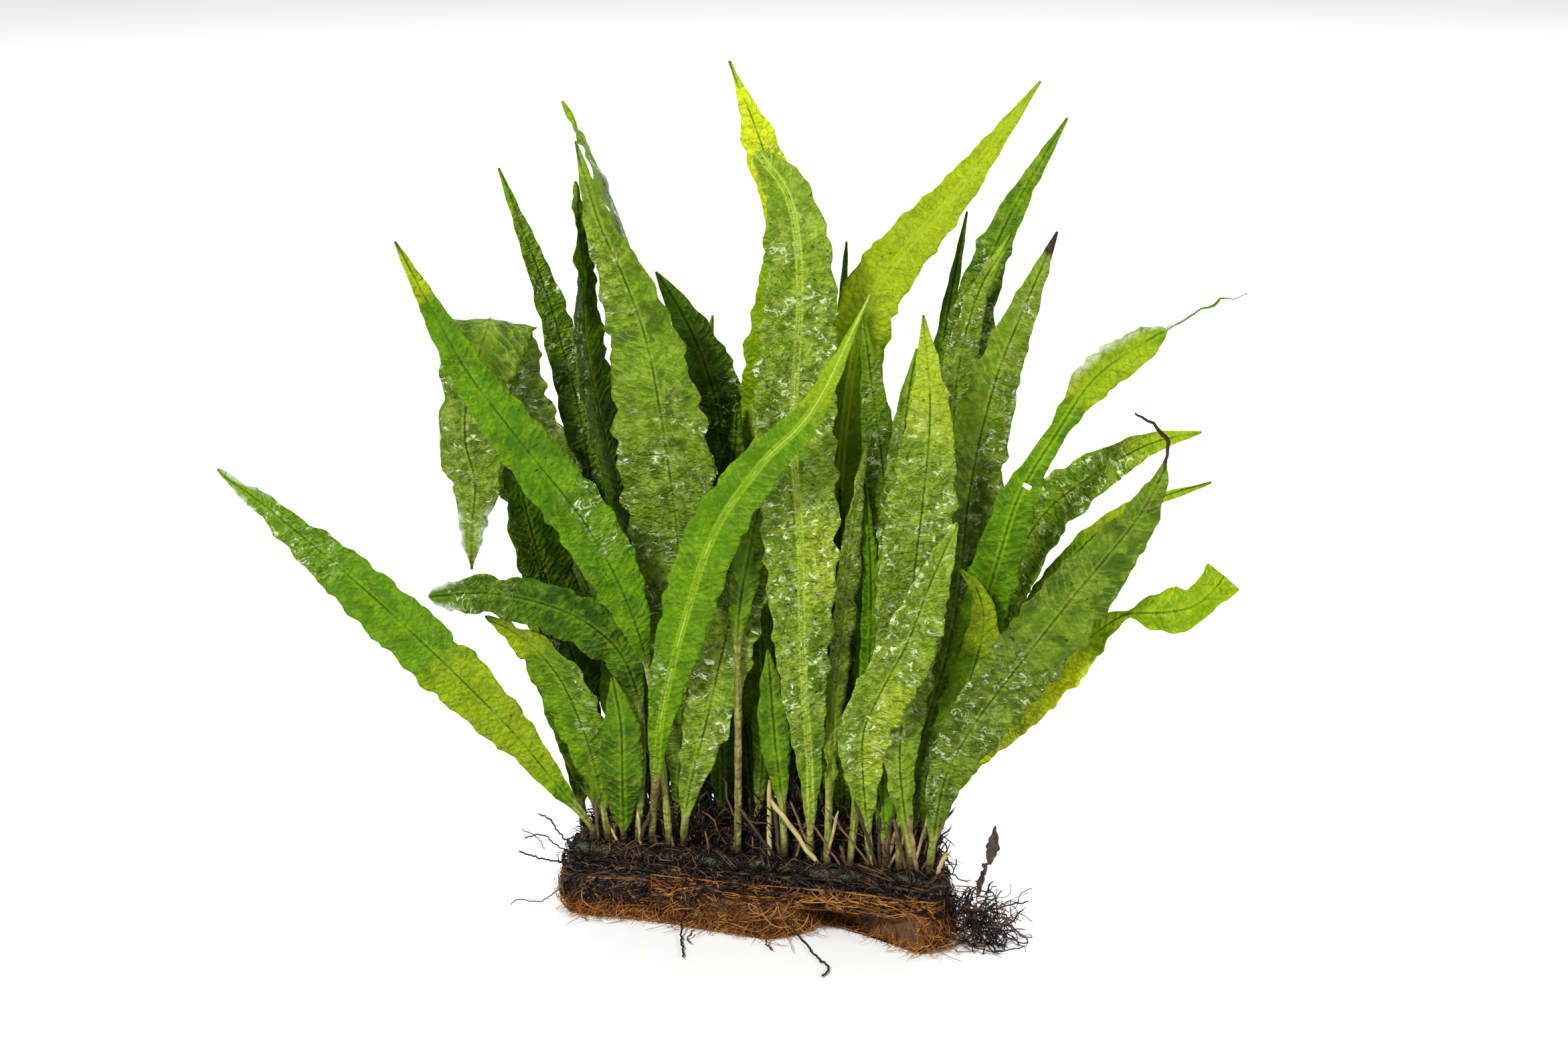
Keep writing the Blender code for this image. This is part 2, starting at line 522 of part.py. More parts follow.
def make_side_growth():
    """The tuft of loose roots at the right end, and the withered frond that stands in it."""
    tuft = tube_rings(smooth_curve(SIDE_ROOTS, len(SIDE_ROOTS_RADII)), SIDE_ROOTS_RADII, SIDE_ROOTS_SIDES)
    new_object("side_roots", *lofted(tuft), new_material("side_roots", (0.02, 0.012, 0.008), 0.7))
    stem = tube_rings(smooth_curve(WITHERED_FROND, len(WITHERED_RADII)), WITHERED_RADII, WITHERED_SIDES)
    new_object("withered_frond", *lofted(stem), new_material("withered", (0.035, 0.02, 0.012), 0.8))


def main():
    for old in list(bpy.data.objects):
        bpy.data.objects.remove(old)
    make_mat()
    make_root_tangle()
    make_rhizomes()
    make_fronds()
    make_side_growth()


main()
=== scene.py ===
"""Dresses the java fern: fine wavy fronds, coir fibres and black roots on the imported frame.

Shapes are worked out in millimetres, in the frame's own axes, and become metres in new_piece.
"""
import math
from collections import namedtuple
from itertools import cycle

import bpy
import numpy as np
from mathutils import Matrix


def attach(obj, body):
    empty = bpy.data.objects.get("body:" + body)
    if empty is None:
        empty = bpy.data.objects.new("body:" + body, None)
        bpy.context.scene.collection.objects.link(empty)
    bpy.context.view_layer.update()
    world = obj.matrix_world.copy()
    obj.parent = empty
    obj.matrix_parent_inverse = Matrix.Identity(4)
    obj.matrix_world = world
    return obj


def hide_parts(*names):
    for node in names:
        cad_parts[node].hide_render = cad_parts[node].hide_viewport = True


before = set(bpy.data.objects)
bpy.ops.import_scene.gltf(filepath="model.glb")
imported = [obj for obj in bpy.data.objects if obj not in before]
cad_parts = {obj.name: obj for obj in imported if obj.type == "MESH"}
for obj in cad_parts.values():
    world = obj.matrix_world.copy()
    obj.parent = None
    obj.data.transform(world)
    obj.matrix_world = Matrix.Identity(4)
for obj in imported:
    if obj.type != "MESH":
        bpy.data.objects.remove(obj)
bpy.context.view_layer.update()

MM = 0.001

# The camera: level in roll, pitched down, far away, on the plane that the front drawing lies in.
VIEW_PITCH = math.radians(13.0)
VIEW_DISTANCE = 1600.0
VIEW_CENTRE = (9.3, 115.4)
PHOTO_WIDTH_PX = 2343
MM_PER_PX = 0.2
SENSOR_WIDTH = 36.0
VIEW_UP = np.array((0.0, math.sin(VIEW_PITCH), math.cos(VIEW_PITCH)))
TOWARD_EYE = np.array((0.0, -math.cos(VIEW_PITCH), math.sin(VIEW_PITCH)))
EYE = np.array((VIEW_CENTRE[0], 0.0, 0.0)) + VIEW_CENTRE[1] * VIEW_UP + VIEW_DISTANCE * TOWARD_EYE

# The mat and the growth on it, as in the frame.
MAT_THICKNESS = 12.0
GAP = 0.3
ROOTS_BED = 2.3
RHIZOME_RADIUS = 2.7
STALK_RADIUS = 1.1
TIP_HALF_WIDTH = 0.35
TAIL_HALF_WIDTH = 0.6
STEP_OFF = 4.0
FORWARD = np.array((0.0, -1.0, 0.0))
ROW_WAVE_HEIGHT = 1.0
ROW_WAVE_LENGTH = 34.0
CURVE_STEPS = 24

MAT_RIM = ((0.93, 0.0), (0.985, 0.15), (1.0, 0.45), (0.975, 0.82), (0.91, 1.0))
MAT_OUTLINE = (
    (-56, -2), (-40, -8), (-25, -14), (-8, -23), (5, -29), (15, -23), (22, -13), (32, -19),
    (42, -33), (51, -45), (57, -36), (59, -14), (57, 8), (50, 26), (36, 37), (16, 43),
    (-8, 46), (-30, 45), (-48, 37), (-57, 18),
)
Row = namedtuple("Row", "depth slant left right wave")
ROWS = {
    "front": Row(-12.0, 0.36, -53, 56, 0.4),
    "middle": Row(8.0, 0.30, -52, 57, 2.1),
    "back": Row(26.0, 0.22, -49, 57, 3.6),
}
# The root tangle, section by section: its edges, and its ridges' heights over its bed.
Section = namedtuple("Section", "across front back ridge_front ridge_middle ridge_back ridge_rear")
ROOTS = (
    Section(-55, 2, 25, 0.0, 0.5, 0.5, 0.0),
    Section(-50, -2, 35, 1.5, 3.0, 3.0, 1.5),
    Section(-40, -6, 41, 2.5, 4.0, 5.0, 3.0),
    Section(-28, -11, 42, 3.0, 5.0, 7.0, 4.0),
    Section(-14, -16, 42, 3.5, 6.5, 9.0, 5.0),
    Section(0, -21, 41, 4.0, 8.5, 11.0, 6.0),
    Section(12, -24, 39, 4.5, 10.0, 12.0, 6.0),
    Section(24, -27, 36, 4.5, 10.0, 11.0, 6.0),
    Section(36, -32, 32, 4.5, 9.0, 9.0, 5.0),
    Section(46, -37, 26, 4.0, 6.0, 6.0, 3.5),
    Section(53, -39, 19, 2.0, 3.5, 3.5, 1.5),
    Section(57, -35, 8, 0.0, 0.5, 0.5, 0.0),
)
ROOTS_RIM = 1.0
ROOTS_UNDERCUT = 1.2
ROOTS_SHOULDER = 0.8
ROOTS_SHOULDER_RISE = 0.3
ROOTS_EDGE_SLOPE = 1.3
RIDGE_CLEARANCE = 3.1
RIDGE_CREST = 5.4
RIDGE_STEP = 0.4
SIDE_ROOTS = ((59.5, -27, 10), (63, -29, 8.5), (67, -31, 6), (73, -34, 3))
WITHERED_FROND = ((66, -30.4, 13.6), (67, -30.6, 19), (70, -30.5, 27), (71, -30, 35))

Frond = namedtuple("Frond", "name row at width path tint stalk widest foot taper turn cup tail shape")


def frond(name, row, at, width, path, tint="mid", stalk=0.12, widest=0.5, foot=1.0, taper=1.0,
          turn=(0, 0), cup=10, tail=0.0, shape=()):
    """One frond: its rhizome and place on it, blade width, and midrib as (across, up, depth) points.

    Across and up are measured on the front drawing, depth is the point's own y. The stalk and the
    thread-like tail are shares of the length. The blade is widest at one share of its own length, and
    foot and taper say how slowly it widens and narrows, unless shape gives its width as (share,
    factor) knots. Turn rolls it about its midrib, in degrees, from its foot to its tip.
    """
    return Frond(name, row, at, width, path, tint, stalk, widest, foot, taper, turn, cup, tail, shape)


FRONDS = (
    # The left side, from the front.
    frond("frond_left_long", "front", -48, 16,
          [(-58, 37, 1), (-75, 57, -5), (-107, 88, -15), (-137, 114, -22), (-160, 132, -26)],
          tint="bright", stalk=0.06, widest=0.42, taper=0.85, turn=(0, 20)),
    frond("frond_left_bright", "front", -25, 17,
          [(-29, 60, -5), (-36, 88, -16), (-49, 114, -25), (-67, 137, -31), (-84, 159, -36),
           (-94, 176, -39), (-107, 200, -42)],
          tint="bright", stalk=0.28, widest=0.32, taper=0.95, turn=(0, -18)),
    frond("frond_left_arched", "front", -34, 17,
          [(-33, 45, 0), (-34, 62, -1), (-39, 76, -6), (-48, 85, -11), (-60, 91, -15), (-78, 95, -18),
           (-97, 94, -20)],
          tint="dark", stalk=0.34, widest=0.5, taper=0.4),
    frond("frond_left_low", "front", -43.5, 16,
          [(-47, 42, 2), (-51, 55, 0), (-58, 70, -3), (-68, 81, -6), (-80, 88, -8)],
          tint="mid", stalk=0.12, taper=0.9, turn=(0, 25)),
    frond("frond_left_wavy", "middle", -47, 12,
          [(-50, 40, 20), (-55, 56, 18), (-61, 70, 16), (-66, 84, 14)],
          tint="mid", stalk=0.12, turn=(0, -40)),
    frond("frond_left_short", "front", -38.5, 13,
          [(-39, 40, -4), (-39.5, 56, -6), (-42, 70, -4)],
          tint="mid", stalk=0.08),
    frond("frond_left_folded", "middle", -33, 28,
          [(-44, 80, 21), (-56, 114, 17), (-68, 140, 13), (-75, 158, 9), (-78, 176, 2), (-80, 172, -6),
           (-85, 155, -10), (-86, 141, -11), (-83, 128, -11), (-84, 114, -11), (-84, 102, -11)],
          tint="grey", stalk=0.03, turn=(0, 10), cup=8,
          shape=((0.0, 0.0), (0.3, 0.75), (0.52, 1.0), (0.68, 0.97), (0.74, 0.82), (0.8, 0.52), (0.87, 0.62),
                 (0.91, 0.42), (0.96, 0.22), (1.0, 0.0))),
    frond("frond_left_shaded", "middle", -42, 20,
          [(-53, 72, 8), (-61, 96, 2), (-68, 120, -2), (-74, 152, -3)],
          tint="dark", stalk=0.15, turn=(0, 20)),
    frond("frond_left_spire", "back", -38, 13,
          [(-43, 92, 26), (-51, 144, 21), (-58, 172, 19), (-63, 188, 18), (-76, 222, 17)],
          tint="mid", stalk=0.06, widest=0.5, turn=(0, -20)),
    frond("frond_left_inner", "back", -28, 12,
          [(-37, 90, 31), (-49, 140, 29), (-57, 170, 28)],
          tint="dark", stalk=0.12, turn=(0, 40)),
    # The left of the middle.
    frond("frond_glossy_tall", "middle", -23, 29,
          [(-21, 60, 6), (-22, 104, -3), (-25, 132, -8), (-31, 167, -12), (-38, 188, -13), (-46, 206, -14),
           (-53, 230, -15)],
          tint="grey", stalk=0.04, widest=0.5, taper=1.2, turn=(0, 8)),
    frond("frond_glossy_partner", "middle", -28.5, 18,
          [(-31, 80, 10), (-36, 112, 5), (-44, 140, 1), (-50, 168, -4), (-51, 192, -7.5), (-53, 218, -10.5)],
          tint="mid", stalk=0.12, widest=0.55, taper=0.8),
    frond("frond_pale_edge", "back", -21, 19,
          [(-20, 80, 18), (-23, 120, 7), (-26, 155, 1), (-35, 192, 0), (-45, 219, -1), (-57, 242, -2)],
          tint="mid", stalk=0.19, widest=0.55),
    frond("frond_dark_broad", "back", -9, 21,
          [(-9, 80, 22), (-9, 120, 18), (-10, 146, 14), (-15, 165, 12), (-22, 180, 11), (-29, 191, 11)],
          tint="dark", stalk=0.06, widest=0.6, foot=0.7, taper=0.9, turn=(0, -12)),
    frond("frond_crossing", "front", -30, 16,
          [(-29, 40, -8), (-27, 60, -13), (-20, 88, -21), (-11, 114, -28), (3, 134, -34),
           (18, 150, -39), (35, 184, -42)],
          tint="bright", stalk=0.1, widest=0.45, foot=1.2, taper=1.4, turn=(0, 15)),
    frond("frond_inner_glossy", "front", -20.5, 18,
          [(-19, 36, -8), (-14, 56, -10), (-7, 86, -11), (1, 114, -10), (9, 138, -8)],
          tint="grey", stalk=0.08),
    frond("frond_inner_shaded", "middle", -9, 15,
          [(-9, 60, 7), (-8, 100, 4), (-6, 130, 2), (-4, 152, 1)],
          tint="dark", stalk=0.06, foot=0.7, turn=(0, 25)),
    frond("frond_inner_narrow", "middle", 1, 8,
          [(3, 44, 6), (3.5, 66, 4), (2, 98, 2)],
          tint="mid", stalk=0.1, turn=(0, 45)),
    frond("frond_inner_stalked", "front", -4.4, 9,
          [(-4.4, 36, -12), (-4.4, 60, -13), (-4.2, 88, -15.5), (0, 112, -17), (4, 130, -18)],
          tint="mid", stalk=0.55),
    frond("frond_inner_young", "front", 9.4, 9,
          [(8.5, 34, -13), (6.5, 52, -14), (4.5, 78, -14)],
          tint="mid", stalk=0.25),
    # The middle.
    frond("frond_front_tall", "front", 17, 24,
          [(17, 42, -19), (15, 72, -20), (14, 112, -21), (12, 145, -20), (14, 185, -16), (11, 212, -12),
           (1, 227, -10)],
          tint="grey", stalk=0.05, widest=0.6, taper=0.5, turn=(0, -10)),
    frond("frond_yellow", "back", -1, 24,
          [(3, 60, 22), (7, 120, 10), (9, 168, 4), (10.5, 200, 2), (3, 228, 2), (-7, 254, 3)],
          tint="yellow", stalk=0.03, widest=0.5, foot=0.7, taper=1.6, turn=(0, 12)),
    frond("frond_front_second", "front", 22, 9,
          [(24, 60, -16), (27, 90, -15), (30, 116, -15), (34, 140, -15)],
          tint="grey", stalk=0.15),
    frond("frond_middle_short", "middle", 25, 11,
          [(26, 34, -3), (25, 46, -6), (21, 60, -8), (17, 76, -9)],
          tint="bright", stalk=0.08),
    frond("frond_middle_ribbed", "middle", 30, 13,
          [(29, 50, 0), (27, 80, 0), (26, 104, 0), (26, 126, 0)],
          tint="dark", stalk=0.07),
    frond("frond_middle_blade", "front", 29, 6,
          [(33, 50, -14), (35, 80, -11), (35, 104, -11), (33, 132, -11)],
          tint="bright", stalk=0.08),
    frond("frond_middle_shaded", "back", 9, 11,
          [(18, 80, 20), (25, 120, 15), (27, 150, 12), (28, 172, 10)],
          tint="dark", stalk=0.08, turn=(0, 35)),
    frond("frond_middle_thin", "back", 17, 8,
          [(22, 100, 26), (25, 160, 22), (27, 185, 20), (28, 200, 20)],
          tint="dark", stalk=0.08, turn=(0, -30)),
    frond("frond_upper_right", "back", 22, 17,
          [(23, 60, 17), (25, 110, 10), (28, 150, 7), (34, 180, 7), (45, 197, 8), (61, 215, 9),
           (86, 248, 12)],
          tint="yellow", stalk=0.15, widest=0.42, taper=1.0, turn=(0, 15)),
    frond("frond_spotted", "middle", 34.5, 15,
          [(36, 60, -4), (39, 102, -6), (39, 130, -7), (36, 154, -8), (33, 178, -8)],
          tint="mid", stalk=0.05),
    # The right side.
    frond("frond_right_light", "front", 46.5, 20,
          [(44, 42, -30), (45, 62, -29), (48, 98, -29), (51, 124, -31), (53, 150, -33), (51, 178, -36)],
          tint="grey", stalk=0.06, widest=0.55, taper=1.0, turn=(0, 10)),
    frond("frond_right_pale", "front", 43, 14,
          [(43, 50, -18), (44, 100, -16), (45, 130, -16), (46, 150, -17), (49, 168, -18)],
          tint="grey", stalk=0.08),
    frond("frond_right_glossy", "front", 34.5, 18,
          [(33, 38, -28), (33, 53, -34), (38, 65, -38), (46, 80, -42), (53, 98, -45), (61, 116, -46)],
          tint="grey", stalk=0.1, widest=0.5, taper=0.8, cup=16, turn=(0, -12)),
    frond("frond_right_small", "front", 39.5, 8,
          [(39, 30, -24), (38.5, 42, -22), (37, 54, -22), (34, 66, -22)],
          tint="mid", stalk=0.12),
    frond("frond_right_curved", "middle", 50.5, 13,
          [(54, 38, -17), (60, 54, -24), (66, 72, -28), (69, 86, -30), (67, 96, -31), (62, 102, -31)],
          tint="mid", stalk=0.08, taper=0.9),
    frond("frond_right_grey", "middle", 38.5, 17,
          [(46, 60, 0), (54, 100, 0), (59, 132, 0), (61, 160, 2), (67, 184, 4), (77, 202, 6)],
          tint="grey", stalk=0.04, turn=(0, -12)),
    frond("frond_right_browntip", "middle", 43, 18,
          [(50, 50, -6), (58, 76, -9), (62, 98, -11), (64, 119, -12), (67, 137, -12), (71, 153, -11),
           (76, 168, -10), (91, 203, -7)],
          tint="grey", stalk=0.04, widest=0.55, turn=(0, 10)),
    frond("frond_right_spire", "back", 41, 15,
          [(50, 80, 15), (57, 120, 13), (61, 152, 13), (67, 182, 13), (76, 206, 13), (94, 237, 14)],
          tint="mid", stalk=0.03, widest=0.55, turn=(0, 15)),
    frond("frond_right_thin", "back", 36, 8,
          [(44, 80, 22), (52, 130, 23), (57, 170, 22), (64, 209, 22)],
          tint="dark", stalk=0.04, turn=(0, 50)),
    frond("frond_right_threaded", "middle", 47, 15,
          [(54, 50, -10), (65, 77, -18), (73, 104, -24), (79.5, 124, -28), (90, 141.5, -31.5),
           (101.5, 158.5, -34.5), (114, 168, -36), (125, 174.5, -37), (139, 182, -38), (148, 184, -38)],
          tint="bright", stalk=0.22, tail=0.12,
          shape=((0.0, 0.0), (0.15, 0.8), (0.36, 0.92), (0.53, 0.65), (0.61, 0.38), (0.68, 0.32),
                 (0.74, 0.42), (0.82, 0.77), (0.93, 0.72), (0.985, 0.3), (1.0, 0.0))),
    frond("frond_right_slant", "back", 46, 18,
          [(58, 56, 8), (72, 94, 0), (86, 117, -6), (97, 127, -9), (108, 134, -12), (120, 140, -15),
           (134, 143, -18)],
          tint="mid", stalk=0.04, taper=0.9, turn=(0, 8)),
    frond("frond_right_broad", "front", 52, 22,
          [(57, 38, -36), (65, 54, -42), (76, 69, -47), (95, 93, -54), (105, 105, -57), (116, 119, -60),
           (123, 133, -62), (123, 142, -62), (114, 149, -62)],
          tint="grey", stalk=0.06, widest=0.52, taper=0.7, tail=0.12, turn=(0, -15)),
    frond("frond_right_twisted", "middle", 54, 16,
          [(61, 42, -13), (72, 54, -24), (83, 65, -33), (95, 77, -39), (104, 84, -42), (112, 88.5, -44),
           (123, 89, -45), (132, 91, -46), (138, 96, -46), (141, 100, -46)],
          tint="yellow", stalk=0.06, turn=(0, 50),
          shape=((0.0, 0.0), (0.2, 0.6), (0.45, 0.95), (0.6, 1.0), (0.66, 0.72), (0.7, 0.42), (0.76, 0.08),
                 (0.81, 0.6), (0.87, 0.9), (0.91, 0.6), (0.96, 0.7), (1.0, 0.8))),
    frond("frond_right_tip", "back", 54, 9,
          [(70, 64, 6), (90, 98, -8), (110, 118, -18), (137, 128, -26)],
          tint="mid", stalk=0.05, turn=(0, 30)),
    # The back, hidden from the front.
    frond("frond_back_1", "back", -44, 17,
          [(-52, 60, 50), (-61, 98, 66), (-67, 124, 76), (-70, 142, 82)],
          tint="mid", stalk=0.06, foot=0.6, turn=(0, -55)),
    frond("frond_back_2", "back", -33, 20,
          [(-36, 60, 50), (-42, 110, 66), (-46, 150, 76), (-48, 176, 80)],
          tint="bright", stalk=0.05, widest=0.35, foot=0.6, turn=(0, 40)),
    frond("frond_back_3", "back", -15, 22,
          [(-16, 60, 48), (-18, 110, 64), (-16, 150, 74), (-12, 178, 80)],
          tint="grey", stalk=0.04, widest=0.35, foot=0.6, turn=(0, -35)),
    frond("frond_back_4", "back", 4, 18,
          [(4, 50, 46), (8, 90, 64), (12, 120, 78), (16, 140, 88)],
          tint="mid", stalk=0.06, widest=0.35, foot=0.6, turn=(0, 60)),
    frond("frond_back_5", "back", 13, 22,
          [(13, 60, 40), (14, 120, 50), (14, 165, 56), (12, 196, 58)],
          tint="grey", stalk=0.04, widest=0.35, foot=0.6, turn=(0, -30)),
    frond("frond_back_6", "back", 27, 20,
          [(30, 50, 42), (36, 90, 58), (42, 120, 70), (50, 142, 78)],
          tint="bright", stalk=0.05, widest=0.35, foot=0.6, turn=(0, 45)),
    frond("frond_back_7", "back", 31.5, 19,
          [(38, 60, 34), (48, 110, 42), (55, 148, 48), (60, 172, 52)],
          tint="mid", stalk=0.05, widest=0.35, foot=0.6, turn=(0, -50)),
    frond("frond_back_8", "back", 50, 16,
          [(60, 50, 34), (68, 74, 46), (78, 92, 54), (86, 102, 58)],
          tint="mid", stalk=0.07, foot=0.6, turn=(0, 60)),
    frond("frond_back_9", "middle", -51.5, 11,
          [(-53, 50, 36), (-55, 74, 44), (-56, 92, 50), (-57, 108, 54)],
          tint="dark", stalk=0.09, foot=0.6, turn=(0, -60)),
)


# The fine fronds.
STATION_SPACING = 1.5
MM_PER_COLUMN = 1.0
FEWEST_COLUMNS = 9
MOST_COLUMNS = 27
BLADE_HALF_THICKNESS = 0.17
RIB_HEIGHT = 0.42
RIB_WIDTH = 0.75
VEIN_SPACING = 5.2
VEIN_SLANT = 0.75
CRIMP_LENGTH = 5.5
FINE_VEIN_SPACING = 2.6
HOLE_RADIUS = 1.25
TAIL_SLIMNESS = 0.6
TAIL_KINKS = 0.5

# Where the roots leave the mat's front bare, from here to its right end.
BARE_FROM = -26.0

# The pattern of each frond lies this far from the next one's in the noise.
PATTERN_SPACING = 31.0
OLD_LEAF_SEED = 60

# How high the thicket between the stalks stands, as (across, factor) knots.
THICKET_HEIGHT = ((-46, 0.5), (-32, 1.0), (0, 1.15), (45, 1.1), (55, 0.6))

# The withered frond's half width, as (share, factor) knots, its half thickness, and its turn in degrees.
WITHERED_SHAPE = ((0.0, 0.25), (0.15, 0.5), (0.35, 1.0), (0.5, 0.6), (0.7, 1.15), (0.88, 0.7), (1.0, 0.08))
WITHERED_HALF_THICKNESS = 0.28
WITHERED_TURN = (0.0, 260.0)

# How each frond looks: the height of its margins' waves and their length in mm, the height of the
# pillows between its veins, how yellow, shaded and spotted it is, and how browned its tip is.
# glints, gold and pale list stretches as (from, to, side), shares of the length, side -1, 0 or 1:
# the crumpled ones, glossier and with a painted sheen and painted glints, the yellowed ones and the
# ones with a whitish margin. rib is the midrib's tone, from -1 dark to 1 pale, holes lists holes as
# (share, across in mm), bark is how brown the stalk is, light is how light the whole frond is, golden
# how strong its yellowing, and bulge is a swelling of its width, as (share, factor, length as a share).
Look = namedtuple("Look", "wave length pillow yellow shade brown spots glints gold pale rib holes bark "
                          "light golden bulge")


def look(wave=0.9, length=19.0, pillow=0.3, yellow=0.15, shade=0.2, brown=0.0, spots=0.2, glints=(),
         gold=(), pale=(), rib=-0.4, holes=(), bark=0.3, light=1.0, golden=0.3, bulge=None):
    return Look(wave, length, pillow, yellow, shade, brown, spots, glints, gold, pale, rib, holes, bark,
                light, golden, bulge)


